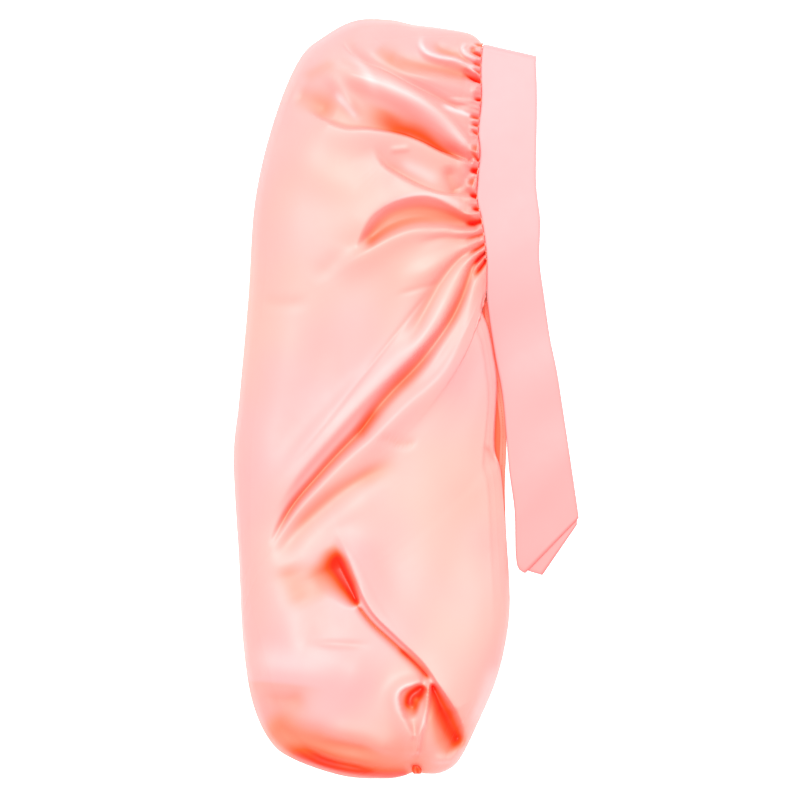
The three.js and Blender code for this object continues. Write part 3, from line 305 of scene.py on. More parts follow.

# Painted shade and painted highlight in the cloth's colour: a positive amount deepens it as painted shade in
# folds and on slopes turned from the light, a negative one pales it as a painted highlight along crests:
# path, amount, and then as in the table of folds
PAINTED_SHADE_AND_HIGHLIGHT = {
    "crown back": (
        [(-101, 313), (-81, 293), (-56, 286), (-28, 280)], 0.16, (12, 14), (12, 12), (0.3, 0.3), 2),
    "crown front": (
        [(-34, 345), (-6, 334), (30, 329), (66, 324)], 0.26, (9, 8), (12, 10), (0.3, 0.1), 2),
    "crown puff": ([(-30, 352), (-22, 344), (-8, 338)], 0.12, (8, 8), (8, 8), (0.3, 0.3), 2),
    "crown back rim": ([(-106, 318), (-82, 330), (-66, 334)], 0.14, (6, 6), (8, 8), (0.3, 0.3), 2),
    "under the roll": (
        [(-48, 292), (-36, 290), (-21, 282), (-5, 271), (14, 265), (34, 250), (58, 236)],
        0.46, (4, 6, 8, 8, 6, 4, 1.5), (10, 12, 10, 8, 6, 4, 2), (0.3, 0.08), 2.6),
    "deep dent": (
        [(-40, 148), (-26, 166), (-6, 179), (19, 185), (44, 183), (69, 177)],
        0.3, (3, 9, 10, 9, 6, 3), (3, 9, 10, 9, 6, 3), (0.08, 0.05), 3),
    "upper sash valley": (
        [(78, 146), (66, 130), (57, 107), (46, 84), (34, 64)],
        0.2, (2, 4, 6, 7, 5), (2, 4, 6, 6, 4), (0.05, 0.25), 3),
    "lower sash valley": (
        [(28, 52), (14, 33), (-13, 8), (-30, -13), (-46, -32), (-65, -51), (-87, -76), (-114, -108),
         (-132, -138)],
        0.2, (6, 9, 9, 7, 6, 5, 4, 3), (6, 8, 7, 6, 5, 5, 4, 3), (0.2, 0.1), 2.4),
    "sash pocket": ([(-28, -12), (-42, -26), (-52, -38)], 0.12, (5, 6), (4, 4), (0.3, 0.3), 2),
    "second sash valley": (
        [(-2, -64), (-63, -88), (-93, -111), (-119, -141)], 0.22, (8, 7), (8, 7), (0.3, 0.2), 2),
    "tail dent": (
        [(-76, -142), (-66, -163), (-57, -184), (-48, -208)],
        0.86, (3, 6, 6, 2.5), (9, 21, 14, 3), (0.3, 0.04), 2.4),
    "tail dent side": ([(-92, -160), (-90, -184), (-82, -206)], 0.2, (12, 10), (16, 16), (0.3, 0.3), 2),
    "tail crease": (
        [(-50, -206), (-34, -226), (-11, -247), (11, -268), (24, -282)],
        0.44, (1.1, 1.3), (1.5, 1.8), (0.02, 0.05), 2),
    "crease pocket": (
        [(-9, -250), (6, -260), (19, -273), (24, -282)], 0.44, (3, 3), (4, 4), (0.2, 0.2), 2),
    "tail valley": (
        [(24, -284), (28, -300), (36, -319), (45, -338), (54, -354)],
        0.54, (2, 10, 14, 13, 9), (1.5, 10, 14, 17, 13), (0.05, 0.1), 3),
    "heart": (
        [(20, -288), (12, -293), (5, -299), (3, -306), (5, -316)],
        0.74, (2, 8, 8, 7, 4), (1.5, 5, 6, 5, 3), (0.08, 0.3), 2.8),
    "heart fold": ([(21, -287), (14, -302), (7, -320)], 0.4, (2.5, 2.5), (4, 4), (0.1, 0.3), 2),
    "end": (
        [(-146, -318), (-124, -344), (-88, -362), (-42, -372), (6, -374), (40, -368)],
        0.38, (24, 27, 36, 34, 28), (12, 12), (0.12, 0.16), 2),
    "end rim": (
        [(-128, -346), (-104, -362), (-63, -375), (-23, -379), (6, -375)],
        0.62, (9, 13, 11, 6), (9, 9), (0.2, 0.06), 2),
    "back hollow": (
        [(-124, -160), (-116, -180), (-109, -198), (-106, -216)],
        0.2, (12, 13), (11, 12), (0.3, 0.3), 2),
    "low hollow": (
        [(-168, -285), (-140, -286), (-116, -288), (-76, -293)],
        0.14, (2.5, 2.5), (36, 26), (0.02, 0.4), 2),
    "top curl crest": (
        [(72, 322), (62, 332), (48, 338), (32, 341), (20, 346), (15, 354), (17, 364)],
        -0.2, (2.5, 2.5), (3, 3), (0.1, 0.2), 2),
    "top curl shade": (
        [(68, 334), (50, 343), (34, 348), (26, 356)], 0.2, (4, 4), (4, 4), (0.2, 0.3), 2),
    "small curl crest": (
        [(71, 336), (61, 342), (57, 350), (62, 356)], -0.2, (2, 2), (2, 2), (0.1, 0.3), 2),
    "crown ridge crest": (
        [(-66, 356), (-48, 338), (-36, 318), (-26, 296)], -0.14, (4, 5), (5, 6), (0.2, 0.4), 2),
    "roll crest": (
        [(-53, 326), (-3, 303), (24, 283), (48, 262), (64, 244)],
        -0.15, (6, 7, 5), (7, 8, 5), (0.3, 0.1), 2),
    "crown back crest": ([(-74, 308), (-58, 290), (-44, 274)], -0.26, (4, 4), (4, 4), (0.3, 0.3), 2),
    "dent edge": (
        [(-46, 156), (-28, 184), (4, 201), (34, 200), (60, 189)], -0.14, (3, 3), (5, 4), (0.3, 0.1), 2),
    "shoulder crest": ([(-10, 236), (16, 226), (36, 214)], -0.1, (6, 6), (8, 6), (0.3, 0.3), 2),
    "sash crest": (
        [(56, 122), (24, 66), (-14, 26), (-66, -24), (-116, -80)],
        -0.05, (8, 8), (12, 14), (0.2, 0.3), 2),
    "swell crest": ([(-160, -258), (-120, -264), (-64, -268)], -0.1, (16, 14), (12, 12), (0.3, 0.4), 2),
    "draw crest": ([(23, -284), (22, -311), (15, -336)], -0.16, (2.5, 3), (2.5, 3), (0.1, 0.3), 2),
    "heart crest": (
        [(12, -284), (-4, -291), (-8, -302), (-2, -320)], -0.1, (2, 2), (4, 5), (0.2, 0.3), 2),
    "glint": ([(34, 294), (50, 288), (66, 282)], -0.3, (3, 2), (4, 2), (0.3, 0.1), 2),
    "front end crest": ([(92, -262), (78, -300), (64, -332)], -0.12, (10, 8), (8, 6), (0.3, 0.3), 2),
}

# distance down the seam, where it starts and how far it goes from there, heading in degrees anticlockwise
# from +X, height, half-width at its start and at its end, and how round it is, as above
PUCKERS = [
    (3, 0, 10, 170, -6, 1.6, 1.5, 1.8), (7, 1, 17, 172, 4, 5.5, 5, 3),
    (8, 7, 7, 172, -3.5, 2.4, 2.4, 2), (13, 0, 14, 160, -6, 1.5, 1.4, 1.6),
    (18, 0, 24, 158, 4, 2.5, 4, 2), (23, 0, 12, 160, -5, 1.4, 1.3, 1.6),
    (27, 0, 16, 158, 3.5, 2.2, 3, 2), (31, 0, 12, 155, -5, 1.4, 1.3, 1.6),
    (35, 0, 30, 150, 5, 2.5, 4, 2), (40, 0, 22, 152, -9, 1.8, 2, 1.6), (44, 0, 34, 160, 3, 3, 5, 2),
    (49, 0, 13, 172, 4.5, 4.5, 4, 3), (57, 0, 9, 175, -8, 1.6, 1.3, 1.8),
    (63, 0, 36, 168, 3.5, 5, 1.5, 3), (70, 0, 26, 165, 3, 5, 1.5, 3),
    (76, 0, 12, 165, -5, 1.5, 1.4, 1.8), (79, 0, 11, 168, 3.5, 2.2, 2, 3),
    (83, 0, 9, 168, -5, 1.4, 1.2, 1.8), (87, 0, 12, 160, 3.5, 2.5, 2, 3),
    (92, 0, 10, 150, -5, 1.5, 1.3, 1.8), (97, 0, 16, 140, 3, 3, 4, 2), (108, 0, 13, 168, 6, 8, 7.5, 4),
    (108, 3.5, 7, 168, -5, 3.6, 3, 2.5), (118.5, 0, 14, 140, -8, 1.8, 2, 1.8),
    (122, 0, 11, 165, 3.5, 2.5, 2.5, 3), (129, 1, 10, 168, -11, 3.2, 2.2, 2.6),
    (134, 0, 12, 150, 3.5, 2, 2, 2), (142, 0, 14, 160, 6, 9, 7, 4), (142, 4, 7, 160, -5, 4.2, 3, 2.5),
    (154, 0, 9, 170, -11, 2.4, 1.8, 2), (161, 0, 18, 165, 4, 3, 4, 2.4),
    (167, 0, 9, 175, -9, 2.4, 1.8, 2), (173, 0, 22, 178, 4.5, 2, 3, 2), (179, 0, 18, 188, -9, 3, 3, 2),
    (186, 0, 34, 190, 5, 3.5, 6, 2), (192, 0, 22, 197, -4.5, 1.6, 2, 1.8),
    (197, 0, 34, 208, 5, 3, 6, 2), (202, 0, 24, 213, -6, 1.6, 2, 1.8),
    (206, 0, 30, 218, 4.5, 2.2, 4, 2), (210, 0, 20, 224, -10, 1.8, 2, 1.8),
    (214, 0, 24, 228, 4, 2, 3, 2), (217.5, 0, 26, 234, -10, 2.2, 3, 1.8),
]


def smooth(t):
    t = np.clip(t, 0, 1)
    return t * t * (3 - 2 * t)


def dome(t):
    return np.sqrt(1 - (1 - np.clip(t, 0, 1)) ** 2)


def mix(a, b, t):
    return a + (b - a) * t


def spline(points, steps):
    """A curve through the points: cubic pieces whose slope at each point follows its neighbours."""
    p = np.array(points, float)
    out = []
    for i in range(len(p) - 1):
        a, b, c, d = p[max(i - 1, 0)], p[i], p[i + 1], p[min(i + 2, len(p) - 1)]
        v0, v1 = (c - a) / 2, (d - b) / 2
        for t in np.arange(steps) / steps:
            out.append((2 * b - 2 * c + v0 + v1) * t**3 + (3 * c - 3 * b - 2 * v0 - v1) * t**2 + v0 * t + b)
    return np.array([*out, p[-1]])


class Path:
    def __init__(self, points, steps=8):
        self.points = spline(points, steps)
        self.along = np.concatenate([[0], np.cumsum(np.linalg.norm(np.diff(self.points, axis=0), axis=1))])
        self.length = self.along[-1]

    def at(self, distance):
        return np.stack([np.interp(distance, self.along, self.points[:, k]) for k in (0, 1)], -1)

    def nearest(self, x, y):
        """How far each point is from the path, the share of the path there, and whether it is on the left."""
        best = np.full(x.shape, np.inf)
        share = np.zeros(x.shape)
        left = np.ones(x.shape, bool)
        for i in range(1, len(self.points)):
            (ax, ay), (bx, by) = self.points[i - 1], self.points[i]
            dx, dy = bx - ax, by - ay
            t = np.clip(((x - ax) * dx + (y - ay) * dy) / (dx * dx + dy * dy), 0, 1)
            gap = (x - ax - t * dx) ** 2 + (y - ay - t * dy) ** 2
            closer = gap < best
            best = np.where(closer, gap, best)
            share = np.where(closer, mix(self.along[i - 1], self.along[i], t) / self.length, share)
            left = np.where(closer, dx * (y - ay) - dy * (x - ax) >= 0, left)
        return np.sqrt(best), share, left


seam, upper_hem, lower_hem = Path(SEAM), Path(UPPER_HEM), Path(LOWER_HEM)
front_outline, back_outline, guide = Path(FRONT_OUTLINE), Path(BACK_OUTLINE), Path(GUIDE)


def pucker_folds():
    rows = []
    for down, start, reach, heading, height, near, far, form in PUCKERS:
        angle = math.radians(heading)
        way = np.array([math.cos(angle), math.sin(angle)])
        path = [tuple(seam.at(down) + way * (start + reach * t)) for t in (0, 0.5, 1)]
        rows.append((path, height, (near, far), (near, far), (0.06, 0.6), form))
    return rows


def as_seen(x, y, z):
    """Where a point of the surface shows in the plan, which is drawn as the eye above the bonnet sees it."""
    nearer = EYE_HEIGHT / (EYE_HEIGHT + EDGE - z)
    return EYE_X + (x - EYE_X) * nearer, EYE_Y + (y - EYE_Y) * nearer


def soft_rows(rows, x, y):
    """The sum of the rows' soft ridges and valleys, or tones, at each point."""
    total = np.zeros(x.shape)
    for points, height, left, right, ends, form in rows:
        path = Path(points, 6)
        room = 3 * max(*left, *right)
        (low_x, low_y), (high_x, high_y) = path.points.min(0) - room, path.points.max(0) + room
        near = (x > low_x) & (x < high_x) & (y > low_y) & (y < high_y)
        away, share, on_left = path.nearest(x[near], y[near])
        width = [np.interp(share, np.linspace(0, 1, len(side)), side) for side in (left, right)]
        width = np.where(on_left, *width)
        rise = smooth(share / ends[0]) * smooth((1 - share) / ends[1])
        total[near] += height * rise * np.exp(-((away / width) ** form))
    return total


def fullness(y):
    """The height and the two roundings of the table above, at the given distance up the bonnet."""
    table = np.array(FULLNESS)[::-1]
    i = np.clip(np.searchsorted(table[:, 0], y) - 1, 0, len(table) - 2)
    low, high = table[i], table[i + 1]
    t = smooth((y - low[..., 0]) / (high[..., 0] - low[..., 0]))
    return [mix(low[..., k], high[..., k], t) for k in (1, 2, 3)]


def surroundings(x, y):
    """How far each point is from the edges around it, and what the cloth's height there depends on."""
    to_back = back_outline.nearest(x, y)[0]
    to_front = front_outline.nearest(x, y)[0]
    to_seam, seam_share, _ = seam.nearest(x, y)
    to_hem, hem_share, _ = upper_hem.nearest(x, y)
    to_mouth = np.minimum(to_seam, to_hem)
    nape = np.where(to_hem < to_seam, hem_share, 0)
    freed = 1 - np.exp(-to_mouth / mix(HELD_AT_SEAM, HELD_AT_NAPE, smooth(2 * nape)))
    from_top = np.hypot(x - SEAM[0][0], y - SEAM[0][1])
    edge = mix(SEAM_TOP / 2, EDGE, smooth(from_top / TOP_REACH))
    return to_back, to_front, to_mouth, nape, freed, edge, seam_share * seam.length


def upper_base(x, y, near):
    to_back, to_front, _, nape, freed, edge, _ = near
    height, round_back, round_front = fullness(y)
    mouth = mix(SEAM_TOP, HEM_TOP, smooth(2 * nape))
    crown = mix(mouth, height, freed)
    back = dome(to_back / mix(TURN, round_back, freed))
    front = dome(to_front / mix(TURN, round_front, freed))
    return edge + (crown - edge) * back * front


def lower_height(near):
    to_back, to_front, to_mouth, nape, freed, edge, along = near
    curl = edge * (1 - dome(np.minimum(to_back, to_front) / mix(TURN, UNDER_ROUND, freed)))
    pleat = 0.5 - 0.5 * np.cos(2 * math.pi * along / PLEAT_PITCH)
    reach = np.clip(1 - to_mouth / PLEAT_REACH, 0, 1) ** 2 * smooth(to_mouth / 3) * (nape == 0)
    return curl + PLEAT_LIFT * pleat * reach


def noise(x, y, size, seed):
    """Smooth random waves of about the given size, from -1 to 1."""
    rng = np.random.default_rng(seed)
    total = np.zeros(x.shape)
    for _ in range(14):
        angle, phase = rng.uniform(0, 2 * math.pi, 2)
        k = 2 * math.pi / (size * rng.uniform(0.7, 1.6))
        total += np.sin(k * (x * math.cos(angle) + y * math.sin(angle)) + phase)
    return total / 5


def fine_gathers(near):
    """Small pleats packed along the seam, uneven in width, that die away within a couple of centimetres."""
    _, _, to_mouth, nape, _, _, along = near
    uneven = 0.35 * np.sin(along / 9.0)
    wave = np.sin(2 * math.pi * (along / GATHER_PITCH + uneven + 0.2 * np.sin(along / 3.7)))
    fade = np.exp(-((to_mouth / GATHER_REACH) ** 2))
    return GATHER_LIFT * wave * fade * smooth(to_mouth / 1.5) * (nape == 0)


def refined(values, counts):
    """Each gap between neighbouring values split into the given number of equal steps."""
    out = []
    for a, b, count in zip(values[:-1], values[1:], counts):
        out.extend(a + (b - a) * k / count for k in range(count))
    return np.array([*out, values[-1]])


FRONT_STEPS = [0, 1.5, 5, 11, 20]
GUIDE_STEPS = [-10, -4.5, 0, 5, 12]
BACK_STEPS = [0, 1.2, 4.5, 10, 18, 30]
UPPER_COUNTS = [2, 5, 8, 9] + [10] * 5 + [6, 6, 6, 7] + [10] * 5 + [9, 7, 6, 3, 2]
LOWER_STEPS = [0, 4, 11, 24]
LOWER_COUNTS = [3, 4, 4, 6, 6, 4, 4, 3]


def upper_columns(length, crossing):
    room = FRONT_STEPS[-1] + BACK_STEPS[-1] + 2 * GUIDE_STEPS[-1]
    unit = min(1, 0.6 * length / room) / length
    front = [d * unit for d in FRONT_STEPS]
    back = [1 - d * unit for d in reversed(BACK_STEPS)]
    middle = min(max(crossing, front[-1] + 22 * unit), back[0] - 22 * unit)
    round_guide = [middle + d * unit for d in GUIDE_STEPS]
    near_front = list(np.linspace(front[-1], round_guide[0], 6)[1:-1])
    near_back = list(np.linspace(round_guide[-1], back[0], 6)[1:-1])
    return refined([*front, *near_front, *round_guide, *near_back, *back], UPPER_COUNTS)


def lower_columns(length):
    unit = min(1, 0.3 * length / LOWER_STEPS[-1]) / length
    front = [d * unit for d in LOWER_STEPS]
    return refined([*front, 0.5, *[1 - d for d in reversed(front)]], LOWER_COUNTS)


def ribs():
    """The stations with finer ribs set evenly between them."""
    rows = []
    for a, b in zip(STATIONS, STATIONS[1:]):
        count = a[4] * RIB_DETAIL
        rows.extend([mix(a[k], b[k], n / count) for k in range(4)] for n in range(count))
    return [*rows, list(STATIONS[-1][:4])]


def front_point(front, hem):
    part = min(2, int(front))
    path = (seam, hem, front_outline)[part]
    point = path.at((front - part) * path.length)
    if front < 2:
        point[0] -= CLEARANCE * (1 - smooth(front - 1))
    return point


def rib_line(rib, hem):
    """A bowed line across the bag, as a function of the share along it, and its length."""
    front, back, early, late = rib
    start, end = front_point(front, hem), back_outline.at(back)
    across = np.array([start[1] - end[1], end[0] - start[0]])
    across /= np.linalg.norm(across)
    if across[1] < 0:
        across = -across

    def at(q):
        q = np.asarray(q, float)[..., None]
        bow = 4.5 * q * (1 - q) * mix(2 * early - late, 2 * late - early, q)
        return start + (end - start) * q + bow * across

    return at, float(np.linalg.norm(end - start))


def crossing_of(at):
    """The share along a rib at which it crosses the guide, along which the columns lie closest."""
    q = np.arange(0, 1.001, 0.002)
    points = at(q)
    left = guide.nearest(points[:, 0], points[:, 1])[2]
    return q[np.argmin(left)] if not left.all() else 1.0


def softened(z, passes):
    for _ in range(passes):
        inner = (z[1:-1, :-2] + z[1:-1, 2:] + z[:-2, 1:-1] + z[2:, 1:-1]) / 4
        z[1:-1, 2:-2] = mix(z[1:-1, 2:-2], inner[:, 1:-1], 0.5)
    return z


def mesh_object(name, points, faces):
    mesh = bpy.data.meshes.new(name)
    corners = [tuple(p) for p in np.asarray(points) * MM]
    mesh.from_pydata(corners, [], [tuple(int(i) for i in face) for face in faces])
    mesh.validate()
    mesh.polygons.foreach_set("use_smooth", [True] * len(mesh.polygons))
    obj = bpy.data.objects.new(name, mesh)
    bpy.context.collection.objects.link(obj)
    return obj


# The solid model was centred after it was made: this is the move.
band_low, band_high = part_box("tie_band")
SHIFT = np.array([band_high[0] / MM - BAND_RIGHT[-1][0], band_low[1] / MM - LOWER_TIE_LEFT[-1][1], 0])


def fold_shade(folds):
    """Painted shade from the folds: 0 on the open cloth to 1 at the bottom of the deepest folds."""
    around = softened(folds.copy(), passes=60)
    return DENT_PAINTED_SHADE * np.maximum(-folds, 0) + CORNER_PAINTED_SHADE * np.maximum(around - folds, 0)


def bag_grid():
    """The ribs of the bag, its two layers as grids of points, and the upper one's painted shade and
    highlight.
    """
    rows = ribs()
    upper, lower = [], []
    for rib in rows:
        at, length = rib_line(rib, upper_hem)
        upper.append(at(upper_columns(length, crossing_of(at))))
        at, length = rib_line(rib, lower_hem)
        lower.append(at(lower_columns(length)))
    upper, lower = np.array(upper), np.array(lower)
    x, y = upper[..., 0], upper[..., 1]
    near = surroundings(x, y)
    to_back, to_front, to_mouth = near[:3]
    base = softened(upper_base(x, y, near), passes=40)
    inland = smooth(to_back / RIM) * smooth(to_front / RIM)
    detail = UNEVEN_LIFT * noise(x, y, UNEVEN_SIZE, seed=4) * smooth(to_mouth / HELD_AT_SEAM) * inland
    seen = as_seen(x, y, base)
    puckers = pucker_folds()
    pucker_painted_shade = [(path, -PUCKER_PAINTED_SHADE * lift, *rest) for path, lift, *rest in puckers if lift < 0]
    folds = soft_rows([*FOLDS.values(), *puckers], *seen) * smooth(to_mouth / 2)
    folds = (folds + fine_gathers(near)) * inland + detail
    z = np.maximum(base + folds, np.minimum(base, LEAST_GAP))
    under = lower_height(surroundings(lower[..., 0], lower[..., 1]))
    # Painted shade and painted highlight from the table, with painted shade in the gathers' valleys.
    painted_tones = soft_rows([*PAINTED_SHADE_AND_HIGHLIGHT.values(), *pucker_painted_shade], *seen)
    hollow = np.clip(fold_shade(folds) + painted_tones, PAINTED_HIGHLIGHT_LIMIT, 1)
    return rows, np.dstack([upper, z]), np.dstack([lower, under]), hollow


def store(obj, name, values):
    """Keeps one number per point of the mesh under a name that a material can read."""
    layer = obj.data.attributes.new(name, "FLOAT", "POINT")
    layer.data.foreach_set("value", np.asarray(values, float).ravel())


def thicken(obj, thickness, inwards=True):
    cloth = obj.modifiers.new("cloth", "SOLIDIFY")
    cloth.thickness = thickness * MM
    cloth.offset = -1 if inwards else 0


def numbered(grid):
    """The number of each point of a grid in its mesh."""
    return np.arange(grid.shape[0] * grid.shape[1]).reshape(grid.shape[:2])


def grid_faces(index):
    return [
        (index[i, j], index[i, j + 1], index[i + 1, j + 1], index[i + 1, j])
        for i in range(index.shape[0] - 1)
        for j in range(index.shape[1] - 1)
    ]


def closed_rings(name, rings):
    """A surface through closed rings of points, with a flat face at each end."""
    index = numbered(rings)
    index = np.concatenate([index, index[:, :1]], 1)
    faces = [*grid_faces(index), tuple(index[0, :-1][::-1]), tuple(index[-1, :-1])]
    return mesh_object(name, rings.reshape(-1, 3) + SHIFT, faces)


def make_bag(rows, upper, lower, hollow):
    """Both layers as one piece of cloth, joined round the back and, below the nape, along the front too."""
    grid = np.concatenate([upper, lower[:, -2::-1]], axis=1)
    index = numbered(grid)
    closed = np.array([rib[0] >= 2 for rib in rows])
    index[closed, -1] = index[closed, 0]
    faces = [*grid_faces(index), tuple(index[-1, :-1])]
    bag = mesh_object("bag_satin", grid.reshape(-1, 3) + SHIFT, faces)
    shade_amounts = np.zeros(grid.shape[:2])
    shade_amounts[:, : upper.shape[1]] = hollow
    nape = [1 < rib[0] < 2 for rib in rows]
    # Painted shade on the lower layer's inside, where it shows under the nape.
    shade_amounts[nape, -sum(LOWER_COUNTS[:3]):] = NAPE_PAINTED_SHADE
    store(bag, "hollow", shade_amounts)
    thicken(bag, CLOTH)
    return bag


def between(rows, ends):
    """Which ribs have a front place between the two ends."""
    return [i for i, rib in enumerate(rows) if ends[0] < rib[0] < ends[1]]


def hem(name, rows, layer, lift):
    """The strip turned inside along the open nape: the edge of one layer again, a little inside it."""
    strip = layer[between(rows, HEM_ENDS)][:, :HEM_COLUMNS] + np.array([0, 0, lift])
    obj = mesh_object(name, strip.reshape(-1, 3) + SHIFT, grid_faces(numbered(strip)))
    thicken(obj, HEM_THICKNESS, inwards=False)
    return obj


def band_side(ties, tip_right, lift):
    """One half of the band, from the fold at the top of the head down to a tie's tip, as its two edges."""
    left = Path([*SEAM, *ties])
    right = Path([*BAND_RIGHT[:-1], tip_right])
    share = np.linspace(TURN / left.length, 1, BAND_STEPS + 1)
    distance = share * left.length
    a, b = left.at(distance), right.at(share * right.length - 2 * (1 - share))
    return np.stack([np.column_stack([a, lift(distance, 0)]), np.column_stack([b, lift(distance, 1)])], 1)


def upper_lift(distance, side):
    """The level of the band's upper half down its length: side 0 is the edge on the bag, 1 the outer edge."""
    level = SEAM_TOP - BAND_SINK - BAND_SLOPE * side
    settle = smooth((distance - seam.length + 10) / 120)
    start = distance - TIE_WAVE_FROM
    wave = TIE_WAVE * np.sin(math.pi * start / TIE_WAVE_LENGTH) ** 2 * smooth(start / 60)
    return mix(level, TIE_LEVEL, settle) + side * wave * smooth((TIE_WAVE_TO - distance) / 90)


def lower_lift(distance, side):
    return np.full(distance.shape, BAND / 2)


def make_band():
    """The band as one strip: from the upper tie's tip up to the fold, over it, and down to the lower tip."""
    upper = band_side(TIE_LEFT[1:], BAND_RIGHT[-1], upper_lift)
    lower = band_side(LOWER_TIE_LEFT, LOWER_TIP_RIGHT, lower_lift)
    angles = np.linspace(0, math.pi, FOLD_STEPS + 1)[1:-1, None]
    turn = []
    for side in (0, 1):
        top, bottom = upper[0, side], lower[0, side]
        out = (TURN - BAND / 2) * np.sin(angles)
        level = mix(bottom[2], top[2], 0.5 + 0.5 * np.cos(angles))
        turn.append(np.hstack([top[0] + FOLD_WAY[0] * out, top[1] + FOLD_WAY[1] * out, level]))
    rows = np.concatenate([upper[::-1], np.stack(turn, 1), lower])
    a, b = rows[:, 0], rows[:, 1]
    middle = (a + b) / 2
    ahead = np.gradient(middle, axis=0)
    across = (b - a) / np.linalg.norm(b - a, axis=1)[:, None]
    normal = np.cross(ahead, across)
    normal /= np.linalg.norm(normal, axis=1)[:, None]
    share = np.array(BAND_COLUMNS)
    half = BAND / 2 * np.minimum(1, np.minimum(share, 1 - share) / BAND_ROUND + 0.15) ** 0.5
    flat = a[:, None] + (b - a)[:, None] * share[None, :, None]
    over = half[None, :, None] * normal[:, None]
    soft = BAND_WAVE * noise(flat[..., 0], flat[..., 1], BAND_WAVE_SIZE, seed=9)
    soft = soft * np.minimum(1, flat[..., 2] / 4)
    on_top = (len(upper) > np.arange(len(rows)))[:, None, None]
    soft = np.maximum(soft, -0.2)[..., None] * normal[:, None] * on_top
    rings = np.concatenate([flat + over + soft, (flat - over + soft)[:, ::-1]], 1)
    return closed_rings("tie_band_satin", rings)


def dashes(name, points, directions, length, radius):
    """Short round stitches, each a six-sided bead pointed at both ends."""
    corners, faces = [], []
    for point, direction in zip(points, directions):
        direction = direction / np.linalg.norm(direction)
        side = np.array([-direction[1], direction[0], 0])
        up = np.cross(direction, side)
        first = len(corners)
        for along, wide in BEAD:
            for k in range(BEAD_SIDES):
                angle = 2 * math.pi * k / BEAD_SIDES
                ring = side * math.cos(angle) + up * math.sin(angle)
                corners.append(point + direction * along * length + ring * radius * wide)
        for ring_start in range(first, len(corners) - BEAD_SIDES, BEAD_SIDES):
            for k in range(BEAD_SIDES):
                a, b = ring_start + k, ring_start + (k + 1) % BEAD_SIDES
                faces.append((a, b, b + BEAD_SIDES, a + BEAD_SIDES))
        faces.append(tuple(range(first, first + BEAD_SIDES))[::-1])
        faces.append(tuple(range(len(corners) - BEAD_SIDES, len(corners))))
    return mesh_object(name, np.array(corners) + SHIFT, faces)


def seam_stitches():
    """The thread that shows in the groove between the band and the gathers, coloured as painted shade of the
    groove.
    """
    at = np.arange(1.5, seam.length - 2, SEAM_PITCH)
    points = seam.at(at)
    tilt = 0.5 * np.sin(at * 1.9)
    ahead = seam.at(at + 0.5) - seam.at(at - 0.5)
    points = np.column_stack([points[:, 0] - 0.5, points[:, 1], np.full(len(at), SEAM_TOP - 0.7)])
    ways = np.column_stack([ahead[:, 0] + 0.3 * tilt, ahead[:, 1], 0 * at])
    return dashes("seam_stitches", points, ways, SEAM_STITCH, SEAM_THREAD)


def nape_stitches(lower, rows):
    """A row of small stitches along the hem that shows between the bag and the tie."""
    line = Path(lower[between(rows, NAPE_STITCH_ENDS), NAPE_STITCH_COLUMN, :2], 1)
    at = np.arange(0, line.length, NAPE_PITCH)
    points = line.at(at)
    ahead = line.at(at + 0.5) - line.at(at - 0.5)
    ahead[0], ahead[-1] = ahead[1], ahead[-2]
    level = np.full(len(at), CLOTH + HEM_THICKNESS + 0.45)
    points = np.column_stack([points, level])
    return dashes("nape_stitches", points, np.column_stack([ahead, 0 * at]), NAPE_STITCH, NAPE_THREAD)


def make_tuft():
    """The pleats drawn together at the tail, as a small ruffled bud that lies on the drawn end."""
    corners = 8 * TUFT_PLEATS
    turns = np.arange(corners) / corners * 2 * math.pi
    crest = 0.5 + 0.5 * np.cos(TUFT_PLEATS * turns)
    rings, shade_amounts = [], []
    for t in np.linspace(0, 1, TUFT_RINGS):
        r = 1.2 + 3.2 * math.sin(0.3 + 2.5 * t) + 1.3 * crest * (0.3 + 0.7 * t)
        rings.append(np.column_stack([
            TUFT_X + r * np.cos(turns) + 1.5 * t, TUFT_Y - 9 * t + 0.2 * r * np.sin(turns),
            TUFT_Z - 3 * t + 0.8 * r * np.sin(turns),
        ]))
        # Painted shade in the bud, paling a little on the pleats' crests towards its tip.
        shade_amounts.append(0.95 - 0.45 * crest * t)
    tuft = closed_rings("tail_tuft_satin", np.array(rings))
    store(tuft, "hollow", shade_amounts)
    return tuft


